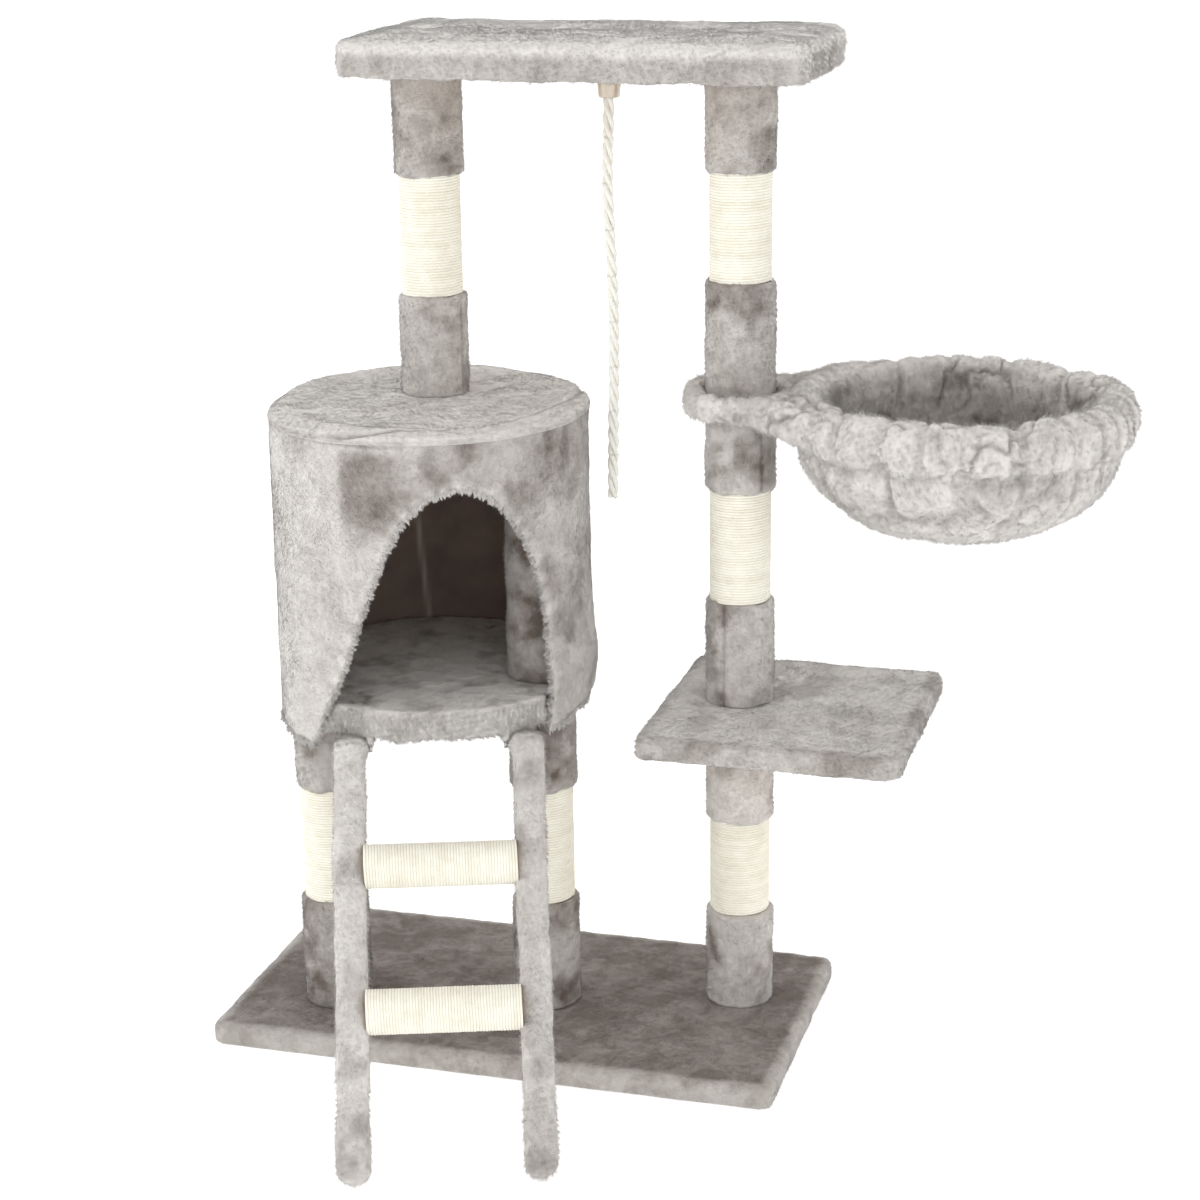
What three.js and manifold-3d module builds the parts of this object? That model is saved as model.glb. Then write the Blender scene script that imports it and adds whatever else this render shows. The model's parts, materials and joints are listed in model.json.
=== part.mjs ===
// A floor-standing cat tree: base, two short legs under a round condo, a three-piece tall post with a side step
// and a hammock, a top perch with a hanging rope, and a ladder hinged under the condo floor.
// Millimetres, +Z up. The origin is the middle of the base board's underside, and the long side of the base is X.
import * as THREE from "three";
import { mergeVertices } from "three/addons/utils/BufferGeometryUtils.js";
import Module from "manifold-3d";

// ---- driving dimensions ----
const GAP = 0.3; // air between touching pieces
const BOARD = 16; // thickness of every chipboard panel

const BASE = { x: [-301, 301], y: [-162.5, 162.5], z: [0, 21.6], corner: 12 };
const STEP = { x: [146, 412], y: [-100, 178], z: [337, 359], corner: 12 };
const PERCH = { x: [-158, 302], y: [-68, 167], z: [999, 1033], corner: 26 };
const COVER = 4; // pile and backing around a panel's edge

const CORE_R = 27; // cardboard tube of a post
const CORE_BORE_R = 21;
const PLUG = 15; // solid end of a tube, which takes the bolt
const SLEEVE_R = 35; // plush sleeve over a tube
const SISAL_R = 31; // sisal winding over a tube
const INNER_SLEEVE_R = 33.5;
const POST_SIDES = 18;

const BOLT_R = 4;
const HEAD_R = 8;
const HEAD = 4;

const CONDO = { x: -94, y: 2, r: 163, floor: 366, floorTop: 388, top: 668, hem: 342 };
const WALL_IN = 154.7; // inside radius of the wall panel
const WALL = 3;
const CONDO_SIDES = 60;
const DOOR_TURN = THREE.MathUtils.degToRad(27); // the doorway's middle, turned from the front towards +X

const LADDER_TURN = THREE.MathUtils.degToRad(19);
const LADDER_LEAN = THREE.MathUtils.degToRad(38);
const HINGE = { out: 143, z: 346, r: 3 }; // the pins' distance from the condo's axis, their height and radius
const RAIL = { across: 89, width: 32, thick: 19, skin: 3 };
const RUNG = { down: [122, 267], core: 18, r: 22 };

const TALL = { x: 222, y: 43 }; // axis of the tall post
const SWIVEL_Z = 675.5; // middle of the hammock's eye plate
const RING = { x: 442, r: 150, wire: 3, roll: 18 };
const RING_SIDES = 36;

const ROPE = { x: 88, y: 48, r: 5.5, top: 979, end: 565 };
const KNOT = { z: 985.8, r: 6.5 };

// ---- materials ----
const finish = (color, roughness, metalness = 0) => new THREE.MeshStandardMaterial({ color, roughness, metalness });
const plush = finish(0xc9c5bf, 0.95);
const sisal = finish(0xefe8d2, 0.9);
const cotton = finish(0xefece0, 0.85);
const chipboard = finish(0xb89a72, 0.8);
const cardboard = finish(0xa98f6d, 0.85);
const lining = finish(0x3b312c, 0.9);
const steel = finish(0xb4b4b6, 0.35, 0.9);
const satin = finish(0xcbc4b5, 0.4, 0.5);

const tree = new THREE.Group();

function addPart(name, geometry, material, parent = tree) {
  const mesh = new THREE.Mesh(geometry, material);
  mesh.name = name;
  parent.add(mesh);
  return mesh;
}

// ---- solids ----
const wasm = await Module();
wasm.setup();

function toSolid(geometry) {
  const bare = geometry.clone();
  bare.deleteAttribute("normal");
  bare.deleteAttribute("uv");
  const merged = mergeVertices(bare, 1e-3);
  const vertProperties = merged.attributes.position.array;
  const triVerts = new Uint32Array(merged.index.array);
  return new wasm.Manifold(new wasm.Mesh({ numProp: 3, vertProperties, triVerts }));
}

function toGeometry(solid) {
  const { vertProperties, triVerts } = solid.getMesh();
  const geometry = new THREE.BufferGeometry();
  geometry.setAttribute("position", new THREE.BufferAttribute(new Float32Array(vertProperties), 3));
  geometry.setIndex(new THREE.BufferAttribute(new Uint32Array(triVerts), 1));
  return geometry;
}

const combine = (step) => (first, ...rest) =>
  toGeometry(rest.reduce((solid, next) => solid[step](toSolid(next)), toSolid(first)));
const cut = combine("subtract");
const join = combine("add");
const overlap = combine("intersect");

// A profile of [radius, height] pairs turned about Z, listed so that the solid is on its left.
function turned(profile, sides, x = 0, y = 0) {
  const points = profile.map(([r, z]) => new THREE.Vector2(r, z));
  return new THREE.LatheGeometry(points, sides).rotateX(Math.PI / 2).translate(x, y, 0);
}

function tube(inner, outer, low, high, sides, x = 0, y = 0) {
  return turned([[inner, low], [outer, low], [outer, high], [inner, high], [inner, low]], sides, x, y);
}

function disc(radius, low, high, sides, x = 0, y = 0) {
  return turned([[0, low], [radius, low], [radius, high], [0, high]], sides, x, y);
}

function box([x0, x1], [y0, y1], [z0, z1]) {
  const middle = [(x0 + x1) / 2, (y0 + y1) / 2, (z0 + z1) / 2];
  return new THREE.BoxGeometry(x1 - x0, y1 - y0, z1 - z0).translate(...middle);
}

function roundedOutline([x0, x1], [y0, y1], r) {
  const shape = new THREE.Shape();
  shape.moveTo(x0 + r, y0);
  shape.absarc(x1 - r, y0 + r, r, -Math.PI / 2, 0, false);
  shape.absarc(x1 - r, y1 - r, r, 0, Math.PI / 2, false);
  shape.absarc(x0 + r, y1 - r, r, Math.PI / 2, Math.PI, false);
  shape.absarc(x0 + r, y0 + r, r, Math.PI, 1.5 * Math.PI, false);
  return shape;
}

// A flat slab, with its upper edge rounded over by `soft`.
function slab(xs, ys, [z0, z1], corner, soft = 0) {
  const inset = ([a, b]) => [a + soft, b - soft];
  const outline = roundedOutline(inset(xs), inset(ys), Math.max(corner - soft, 1));
  const depth = z1 - z0 - soft;
  if (!soft) return new THREE.ExtrudeGeometry(outline, { depth, bevelEnabled: false, curveSegments: 3 }).translate(0, 0, z0);
  const edge = { bevelEnabled: true, bevelSize: soft, bevelThickness: soft, bevelSegments: 2 };
  const puffed = new THREE.ExtrudeGeometry(outline, { depth, curveSegments: 3, ...edge }).translate(0, 0, z0);
  return overlap(puffed, box([xs[0] - 1, xs[1] + 1], [ys[0] - 1, ys[1] + 1], [z0, z1 + 1]));
}

const grown = ([a, b], by) => [a - by, b + by];

// ---- panels wrapped in plush ----
function coveredPanel(name, panel, boardLow, holes) {
  const xs = grown(panel.x, -COVER);
  const ys = grown(panel.y, -COVER);
  const boardTop = boardLow + BOARD;
  const drill = (radius, low, high) => holes.map(([x, y]) => disc(radius, low, high, 16, x, y));
  const board = slab(xs, ys, [boardLow, boardTop], panel.corner - COVER);
  addPart(name + "_board", cut(board, ...drill(BOLT_R + GAP, boardLow - 1, boardTop + 1)), chipboard);
  const shell = slab(panel.x, panel.y, panel.z, panel.corner, COVER * 1.5);
  const room = slab(grown(xs, GAP), grown(ys, GAP), [panel.z[0] - 1, boardTop + GAP], panel.corner - COVER + GAP);
  return cut(shell, room, ...drill(BOLT_R + GAP, boardTop, panel.z[1] + 1));
}

// A bolt along Z from its head to its tip.
function bolt(name, x, y, headZ, tipZ) {
  const up = Math.sign(tipZ - headZ);
  const profile = [[0, 0], [HEAD_R, 0], [HEAD_R, HEAD], [BOLT_R, HEAD], [BOLT_R, Math.abs(tipZ - headZ)]];
  profile.push([0, Math.abs(tipZ - headZ)]);
  const geometry = turned(profile, 16);
  if (up < 0) geometry.rotateX(Math.PI);
  addPart(name, geometry.translate(x, y, headZ), steel);
}

function stud(name, x, y, low, high) {
  addPart(name, disc(BOLT_R, low, high, 16, x, y), steel);
}

// ---- posts: a plugged tube under a low sleeve, a sisal winding and a high sleeve ----
function postCore(name, x, y, low, high) {
  const bore = BOLT_R + GAP;
  const profile = [
    [bore, low], [CORE_R, low], [CORE_R, high], [bore, high], [bore, high - PLUG],
    [CORE_BORE_R, high - PLUG], [CORE_BORE_R, low + PLUG], [bore, low + PLUG], [bore, low],
  ];
  addPart(name + "_core", turned(profile, POST_SIDES, x, y), cardboard);
}

function post(name, x, y, [low, sisalLow, sisalHigh, high]) {
  const inside = CORE_R + GAP;
  const layer = (part, radius, from, to, material) =>
    addPart(name + part, tube(inside, radius, from, to, POST_SIDES, x, y), material);
  postCore(name, x, y, low, high);
  layer("_sleeve_low", SLEEVE_R, low, sisalLow, plush);
  layer("_sisal", SISAL_R, sisalLow + GAP, sisalHigh - GAP, sisal);
  layer("_sleeve_high", SLEEVE_R, sisalHigh, high, plush);
}

const LEFT_LEG = { x: -194.5, y: -64 };
const RIGHT_LEG = { x: 24, y: -12 };
const CONDO_POST = { x: -100, y: 42 };
const baseTop = BASE.z[1] + GAP;
const legTop = CONDO.floor - GAP;
const perchBoard = PERCH.z[0] + 3;

post("left_leg", LEFT_LEG.x, LEFT_LEG.y, [baseTop, 143, 268, legTop]);
post("right_leg", RIGHT_LEG.x, RIGHT_LEG.y, [baseTop, 143, 268, legTop]);
post("condo_post", CONDO_POST.x, CONDO_POST.y, [CONDO.top + GAP, 772, 894, perchBoard - GAP]);
post("tall_post_lower", TALL.x, TALL.y, [baseTop, 127.5, 230.5, STEP.z[0] - GAP]);
post("tall_post_middle", TALL.x, TALL.y, [STEP.z[1] + GAP, 469, 585.5, SWIVEL_Z - 1.8]);
post("tall_post_upper", TALL.x, TALL.y, [SWIVEL_Z + 1.8, 797, 905, perchBoard - GAP]);

// ---- base, side step and perch ----
const feet = [[LEFT_LEG.x, LEFT_LEG.y], [RIGHT_LEG.x, RIGHT_LEG.y], [TALL.x, TALL.y]];
const baseCover = coveredPanel("base", BASE, 0, []);
const baseBoard = tree.getObjectByName("base_board");
for (const [x, y] of feet)
  baseBoard.geometry = cut(
    baseBoard.geometry,
    disc(BOLT_R + GAP, -1, BOARD + 1, 16, x, y),
    disc(HEAD_R + 0.5, -1, HEAD + 1.5, 16, x, y),
  );
addPart("base_cover", cut(baseCover, ...feet.map(([x, y]) => disc(BOLT_R + GAP, 0, 30, 16, x, y))), plush);
bolt("left_leg_bolt", LEFT_LEG.x, LEFT_LEG.y, 1, baseTop + PLUG);
bolt("right_leg_bolt", RIGHT_LEG.x, RIGHT_LEG.y, 1, baseTop + PLUG);
bolt("tall_post_bolt", TALL.x, TALL.y, 1, baseTop + PLUG);

addPart("side_step_cover", coveredPanel("side_step", STEP, STEP.z[0], [[TALL.x, TALL.y]]), plush);
stud("side_step_stud", TALL.x, TALL.y, STEP.z[0] - PLUG, STEP.z[1] + PLUG);

const perchPosts = [[CONDO_POST.x, CONDO_POST.y], [TALL.x, TALL.y]];
const perchCover = coveredPanel("perch", PERCH, perchBoard, perchPosts);
const wells = perchPosts.map(([x, y]) => disc(HEAD_R + 0.5, perchBoard + BOARD - 1, PERCH.z[1] + 1, 16, x, y));
addPart("perch_cover", cut(perchCover, ...wells), plush);
const headTop = perchBoard + BOARD + GAP + HEAD;
bolt("perch_bolt_left", CONDO_POST.x, CONDO_POST.y, headTop, perchBoard - PLUG);
bolt("perch_bolt_right", TALL.x, TALL.y, headTop, perchBoard - PLUG);

// ---- condo ----
// The doorway as a prism along the door's own direction: an arch that leans and flares towards its lower left.
function doorway(shrink) {
  const arch = new THREE.Shape();
  const sill = CONDO.hem - 20;
  arch.moveTo(-150 + shrink, sill);
  arch.lineTo(98 - shrink, sill);
  arch.lineTo(97 - shrink, 420);
  arch.bezierCurveTo(96 - shrink, 520, 66 - shrink, 612 - shrink, 4, 612 - shrink);
  arch.bezierCurveTo(-72 + shrink, 612 - shrink, -84 + shrink, 470, -128 + shrink, 372);
  arch.closePath();
  const prism = new THREE.ExtrudeGeometry(arch, { depth: 260, bevelEnabled: false, curveSegments: 14 });
  return prism.rotateX(Math.PI / 2).rotateZ(DOOR_TURN).translate(CONDO.x, CONDO.y, 0);
}

const at = [CONDO.x, CONDO.y];
const condoDisc = (radius, low, high) => disc(radius, low, high, CONDO_SIDES, ...at);
const boardR = WALL_IN - GAP;
const topBoard = CONDO.top - 6 - BOARD;

const wallPanel = tube(WALL_IN, WALL_IN + WALL, CONDO.floor, CONDO.top - 6.3, CONDO_SIDES, ...at);
addPart("condo_wall_panel", cut(wallPanel, doorway(0)), lining);
const wallCover = tube(WALL_IN + WALL + GAP, CONDO.r, CONDO.hem, CONDO.top - 6.3, CONDO_SIDES, ...at);
addPart("condo_wall_cover", cut(wallCover, doorway(2)), plush);

const legHole = disc(BOLT_R + GAP, CONDO.floor - 1, CONDO.floorTop + 1, 16, RIGHT_LEG.x, RIGHT_LEG.y);
addPart("condo_floor_board", cut(condoDisc(boardR, CONDO.floor, CONDO.floor + BOARD), legHole), chipboard);
const lip = overlap(condoDisc(CONDO.r - 3, CONDO.floor - 8, CONDO.floorTop), doorway(4));
const floorSkin = join(condoDisc(boardR, CONDO.floor + BOARD / 2, CONDO.floorTop), lip);
const boardRoom = condoDisc(boardR + GAP, CONDO.floor - 20, CONDO.floor + BOARD + GAP);
addPart("condo_floor_cover", cut(floorSkin, boardRoom, legHole), plush);

addPart("condo_top_board", condoDisc(boardR, topBoard, CONDO.top - 6.3), chipboard);
const topProfile = [[0, CONDO.top - 6], [CONDO.r, CONDO.top - 6], [CONDO.r, CONDO.top - 3], [CONDO.r - 3, CONDO.top]];
topProfile.push([0, CONDO.top]);
addPart("condo_top_cover", turned(topProfile, CONDO_SIDES, ...at), plush);

const innerPost = [CONDO.floorTop + GAP, topBoard - GAP];
postCore("inner_post", RIGHT_LEG.x, RIGHT_LEG.y, ...innerPost);
const innerSleeve = tube(CORE_R + GAP, INNER_SLEEVE_R, ...innerPost, POST_SIDES, RIGHT_LEG.x, RIGHT_LEG.y);
addPart("inner_post_sleeve", innerSleeve, plush);
stud("right_leg_stud", RIGHT_LEG.x, RIGHT_LEG.y, CONDO.floor - PLUG, CONDO.floorTop + PLUG);

// ---- hammock: a wire ring welded to an eye plate, in a soft basket with a collar round the post ----
const platform = [SWIVEL_Z - 1.5, SWIVEL_Z + 1.5];
const ringSection = (radius) => {
  const ring = [];
  for (let i = 0; i <= 6; i++) {
    const a = (i / 6) * 2 * Math.PI;
    ring.push([RING.r + radius * Math.cos(a), SWIVEL_Z + radius * Math.sin(a)]);
  }
  return turned(ring, RING_SIDES, RING.x, TALL.y);
};
const tongue = (side, room) =>
  box([TALL.x, RING.x - RING.r + 2], grown([TALL.y, TALL.y], side), grown(platform, room));
const eye = disc(25, ...platform, POST_SIDES, TALL.x, TALL.y);
const eyeHole = disc(BOLT_R + GAP, platform[0] - 1, platform[1] + 1, 16, TALL.x, TALL.y);
const frame = join(ringSection(RING.wire), tongue(10, 0), eye);
addPart("hammock_frame", cut(frame, eyeHole), steel);
stud("hammock_stud", TALL.x, TALL.y, SWIVEL_Z - PLUG, SWIVEL_Z + PLUG);

function basketProfile() {
  const inside = [[0, 566], [48, 568.5], [90, 579], [118, 603], [133, 632]];
  const outside = [[156, 632], [132, 598], [97, 574], [52, 561], [0, 558.5]];
  const roll = [];
  for (let i = 0; i <= 7; i++) {
    const a = THREE.MathUtils.degToRad(215 - i * 36);
    roll.push([RING.r + RING.roll * Math.cos(a), SWIVEL_Z + RING.roll * Math.sin(a)]);
  }
  return [...inside, ...roll, ...outside].reverse();
}

function collar() {
  const section = [];
  for (let i = 0; i <= 8; i++) {
    const a = (i / 8) * 2 * Math.PI;
    section.push([47 + 10 * Math.cos(a), SWIVEL_Z + 14 * Math.sin(a)]);
  }
  return turned(section, 24, TALL.x, TALL.y);
}

function neck() {
  const web = new THREE.Shape();
  web.moveTo(TALL.x + 10, TALL.y - 46);
  web.lineTo(RING.x - 104, TALL.y - 118);
  web.lineTo(RING.x - 104, TALL.y + 118);
  web.lineTo(TALL.x + 10, TALL.y + 46);
  web.closePath();
  return new THREE.ExtrudeGeometry(web, { depth: 22, bevelEnabled: false }).translate(0, 0, SWIVEL_Z - 11);
}

const cloth = join(turned(basketProfile(), RING_SIDES, RING.x, TALL.y), collar(), neck());
const postRoom = disc(SLEEVE_R + 1.5, 640, 710, 24, TALL.x, TALL.y);
const mouth = disc(RING.r - RING.roll, SWIVEL_Z - 12, 710, RING_SIDES, RING.x, TALL.y);
addPart("hammock_basket", cut(cloth, postRoom, mouth, ringSection(RING.wire + 0.5), tongue(10.5, 0.5)), plush);

// ---- ladder: two covered rails on pins under the condo floor, with two sisal rungs ----
const facing = new THREE.Group();
facing.position.set(CONDO.x, CONDO.y, 0);
facing.rotation.z = LADDER_TURN;
tree.add(facing);
const ladder = new THREE.Group();
ladder.position.set(0, -HINGE.out, HINGE.z);
ladder.rotation.x = -LADDER_LEAN;
facing.add(ladder);

// The heel, at the back of each foot, is what touches the floor.
const railLength = (HINGE.z - (RAIL.thick / 2) * Math.sin(LADDER_LEAN)) / Math.cos(LADDER_LEAN);

// A rail along local Z, round at the hinge and at the corners of its foot, slimmer all round by `inset`.
function railSolid(across, inset) {
  const halfThick = RAIL.thick / 2 - inset;
  const halfWide = RAIL.width / 2 - inset;
  const foot = -railLength + inset;
  const side = new THREE.Shape();
  side.moveTo(-halfThick, foot);
  side.lineTo(halfThick, foot);
  side.absarc(0, 0, halfThick, 0, Math.PI, false);
  side.closePath();
  const sides = new THREE.ExtrudeGeometry(side, { depth: 2 * halfWide, bevelEnabled: false, curveSegments: 7 });
  sides.translate(0, 0, -halfWide).applyMatrix4(new THREE.Matrix4().makeBasis(
    new THREE.Vector3(0, 1, 0), new THREE.Vector3(0, 0, 1), new THREE.Vector3(1, 0, 0)));
  const toe = halfWide * 0.9;
  const front = new THREE.Shape();
  front.moveTo(-halfWide, 30);
  front.lineTo(-halfWide, foot + toe);
  front.absarc(-halfWide + toe, foot + toe, toe, Math.PI, 1.5 * Math.PI, false);
  front.absarc(halfWide - toe, foot + toe, toe, -Math.PI / 2, 0, false);
  front.lineTo(halfWide, 30);
  front.closePath();
  const fronts = new THREE.ExtrudeGeometry(front, { depth: 60, bevelEnabled: false, curveSegments: 4 });
  fronts.rotateX(Math.PI / 2).translate(0, 30, 0);
  return overlap(sides, fronts).translate(across, 0, 0);
}

// A cylinder along local X.
function crossBar(radius, from, to, z, sides) {
  const bar = new THREE.CylinderGeometry(radius, radius, to - from, sides).rotateZ(Math.PI / 2);
  return bar.translate((from + to) / 2, 0, z);
}

const rungSides = 20;
for (const [name, side] of [["left", -1], ["right", 1]]) {
  const across = side * RAIL.across;
  const pinHole = crossBar(HINGE.r + GAP, across - 20, across + 20, 0, 16);
  const board = railSolid(across, RAIL.skin + GAP);
  addPart(`ladder_rail_${name}_board`, cut(board, pinHole), chipboard, ladder);
  const inward = [across, across - side * 20].sort((a, b) => a - b);
  const rungHoles = RUNG.down.map((down) => crossBar(RUNG.core + GAP, ...inward, -down, rungSides));
  const skin = cut(railSolid(across, 0), railSolid(across, RAIL.skin), pinHole, ...rungHoles);
  addPart(`ladder_rail_${name}_cover`, skin, plush, ladder);
}
const boardFace = RAIL.across - RAIL.width / 2 + RAIL.skin + GAP;
const coverFace = RAIL.across - RAIL.width / 2;
for (const [name, down] of [["upper", RUNG.down[0]], ["lower", RUNG.down[1]]]) {
  const core = crossBar(RUNG.core, GAP - boardFace, boardFace - GAP, -down, rungSides);
  addPart(`rung_${name}_core`, core, cardboard, ladder);
  const winding = crossBar(RUNG.r, GAP - coverFace, coverFace - GAP, -down, rungSides);
  const bore = crossBar(RUNG.core + GAP, -coverFace, coverFace, -down, rungSides);
  addPart(`rung_${name}_sisal`, cut(winding, bore), sisal, ladder);
}

// Two pins on ears under one plate, which is screwed up against the floor board.
function hinge() {
  const plateTop = CONDO.floor - GAP;
  const heel = 5 - HINGE.out;
  const plate = box([-69, 69], [heel, heel + 30], [plateTop - 2.5, plateTop]);
  const pieces = [-1, 1].flatMap((side) => {
    const ear = grown([side * 64.5, side * 64.5], 4.5);
    const ends = [side * 60, side * (RAIL.across + 15)].sort((p, q) => p - q);
    return [
      box(ear, [heel, heel + 4], [HINGE.z - HINGE.r, plateTop]),
      box(ear, [-HINGE.out, heel + 4], [HINGE.z - HINGE.r, HINGE.z + HINGE.r]),
      crossBar(HINGE.r, ...ends, 0, 16).translate(0, -HINGE.out, HINGE.z),
    ];
  });
  return join(plate, ...pieces);
}
addPart("ladder_hinge", hinge(), steel, facing);

// ---- rope: a ferrule under the perch, the knot inside it and the hanging rope ----
const mouthR = 8.2;
const ferrule = [
  [0, 994], [9.5, 994], [9.5, 982], [mouthR, ROPE.top], [11, ROPE.top], [13.5, perchBoard - GAP], [0, perchBoard - GAP],
];
addPart("rope_ferrule", turned(ferrule, POST_SIDES, ROPE.x, ROPE.y), satin);
const ball = new THREE.SphereGeometry(KNOT.r, 14, 8).translate(ROPE.x, ROPE.y, KNOT.z);
addPart("rope_knot", ball, cotton);

// The rope hangs in a slight set, left in it by its lay: its offsets from plumb at even steps down its length.
const SET_X = [0, -1.6, -2.9, -1.4, 0.8, 2.3, 2.2, 0.9, -0.3, -1.5];
const SET_Y = [0, 0.6, 1.4, 1.2, 0.2, -1, -1.6, -1.1, 0, 0.8];
const drop = (ROPE.top - ROPE.end) / (SET_X.length - 1);
const route = SET_X.map((dx, i) => new THREE.Vector3(ROPE.x + dx, ROPE.y + SET_Y[i], ROPE.top - i * drop));
const section = new THREE.Shape();
section.absarc(0, 0, ROPE.r, 0, 2 * Math.PI, false);
const hung = { extrudePath: new THREE.CatmullRomCurve3(route), steps: 16, curveSegments: 5, bevelEnabled: false };
addPart("rope", new THREE.ExtrudeGeometry(section, hung), cotton);

export default tree;
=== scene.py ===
import itertools
import json
import math

import bpy
import numpy as np
from mathutils import Matrix, Vector


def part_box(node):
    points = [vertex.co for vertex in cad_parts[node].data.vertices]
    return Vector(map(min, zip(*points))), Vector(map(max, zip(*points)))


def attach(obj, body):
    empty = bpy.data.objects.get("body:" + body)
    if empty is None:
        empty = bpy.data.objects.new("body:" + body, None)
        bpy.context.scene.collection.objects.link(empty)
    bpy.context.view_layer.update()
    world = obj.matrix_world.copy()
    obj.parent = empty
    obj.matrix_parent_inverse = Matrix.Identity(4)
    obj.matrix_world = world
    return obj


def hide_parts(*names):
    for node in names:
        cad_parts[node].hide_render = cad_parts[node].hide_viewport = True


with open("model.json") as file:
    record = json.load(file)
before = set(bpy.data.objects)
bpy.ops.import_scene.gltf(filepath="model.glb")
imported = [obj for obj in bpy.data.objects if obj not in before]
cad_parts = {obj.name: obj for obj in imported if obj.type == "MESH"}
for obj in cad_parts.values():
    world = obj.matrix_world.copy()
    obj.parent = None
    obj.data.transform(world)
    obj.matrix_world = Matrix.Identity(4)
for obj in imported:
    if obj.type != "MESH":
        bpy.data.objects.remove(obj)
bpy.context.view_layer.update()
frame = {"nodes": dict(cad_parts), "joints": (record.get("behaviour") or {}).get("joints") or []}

MM = 0.001

# ---- driving dimensions, repeated from the part ----
CONDO = np.array([-0.094, 0.002])
CONDO_R = 0.163
LINING_R = 0.1547
CONDO_POST = (-0.100, 0.042)
TOP_DIMPLE = (-0.080, 0.106)  # in the condo's top
DOOR_TURN = math.radians(27)
LADDER_LEAN = math.radians(38)
RAIL_ACROSS, RAIL_WIDTH, RAIL_THICK = 0.089, 0.032, 0.019
RUNG_DOWN = (0.122, 0.267)
TALL = np.array([0.222, 0.043])
SWIVEL_Z = 0.6755
RING = np.array([0.442, 0.043])
RING_R = 0.150
NECK = 0.106  # half the width of the hammock's neck where it meets the ring
THREAD = 2.9 * MM  # from one turn of sisal to the next

ROPE_TOP, ROPE_END = 0.979, 0.565
ROPE_AT = (0.088, 0.048)
SET_X = [0, -1.6, -2.9, -1.4, 0.8, 2.3, 2.2, 0.9, -0.3, -1.5]  # the rope's set off plumb, in millimetres
SET_Y = [0, 0.6, 1.4, 1.2, 0.2, -1, -1.6, -1.1, 0, 0.8]


# ---- numbers and noise ----
def unit(v):
    return v / np.maximum(np.linalg.norm(v, axis=-1, keepdims=True), 1e-12)


def ease(x, low, high):
    """0 below low, 1 above high, smooth between."""
    t = np.clip((x - low) / (high - low), 0, 1)
    return t * t * (3 - 2 * t)


def bump_at(x, middle, width):
    return np.exp(-(((x - middle) / width) ** 2))


def full_turn(count):
    return np.linspace(0, 2 * math.pi, count, endpoint=False)


def reach_from(axis, points):
    """Each point's distance from an upright axis."""
    return np.hypot(*(points[:, :2] - axis).T)


def out_from(axis, points):
    """Level unit vectors from an upright axis through each point."""
    return unit((points - [*axis, 0]) * [1, 1, 0])


def arched(x):
    """A round arch over 0 to 1."""
    return np.sqrt(np.clip(1 - (2 * np.abs(x - 0.5)) ** 2, 0, 1))


def boxy(x, power):
    """A sine or cosine raised to a power below 1, which squares a round section."""
    return np.sign(x) * np.abs(x) ** power


TILT = np.array(Matrix.Rotation(0.7, 3, Vector((1, 2, 3)).normalized()))


def lattice(cell, seed):
    h = cell[..., 0] * 374761393 + cell[..., 1] * 668265263 + cell[..., 2] * 1440662683 + seed * 974634777
    h = (h ^ (h >> 13)) * 1274126177
    return ((h ^ (h >> 16)) & 0xFFFF) / 32767.5 - 1


def ripple(points, size, seed):
    """Smooth noise from -1 to 1, with lumps about `size` across."""
    at = np.asarray(points) @ TILT.T / size + 37.3 * seed
    cell = np.floor(at).astype(np.int64)
    f = at - cell
    f = f * f * (3 - 2 * f)
    total = 0
    for corner in itertools.product((0, 1), repeat=3):
        weight = np.prod(np.where(corner, f, 1 - f), axis=-1)
        total = total + weight * lattice(cell + np.array(corner), seed)
    return total


# ---- meshes ----
def grid_faces(rows, columns, round_columns=True, round_rows=False):
    r = np.arange(rows if round_rows else rows - 1)[:, None]
    c = np.arange(columns if round_columns else columns - 1)[None, :]
    below, above = r * columns, (r + 1) % rows * columns
    left, right = c, (c + 1) % columns
    return np.stack([below + left, below + right, above + right, above + left], -1).reshape(-1, 4)


def fan(centre, ring, flip=False):
    """Triangles that close a ring of vertex indices with one vertex."""
    after = np.roll(ring, -1)
    pair = (after, ring) if flip else (ring, after)
    return np.stack([np.full(len(ring), centre), *pair], -1)


def capped(rows, sides, flip=False):
    """Faces of a closed tube, whose two end middles come after its rows."""
    wall = grid_faces(rows, sides)
    first = np.arange(sides)
    last = first + (rows - 1) * sides
    ends = [fan(rows * sides, first, flip), fan(rows * sides + 1, last, not flip)]
    return [wall if flip else wall[:, ::-1], *ends]


def halved(part):
    """A block of faces as triangles."""
    return part if part.shape[1] == 3 else np.concatenate([part[:, :3], part[:, [0, 2, 3]]])


def vertex_normals(verts, faces):
    total = np.zeros_like(verts)
    for part in faces:
        p = verts[part]
        diagonal = p[:, 3] - p[:, 1] if part.shape[1] == 4 else p[:, 2] - p[:, 1]
        n = np.cross(p[:, 2] - p[:, 0], diagonal)
        for k in range(part.shape[1]):
            np.add.at(total, part[:, k], n)
    return unit(total)


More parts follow.
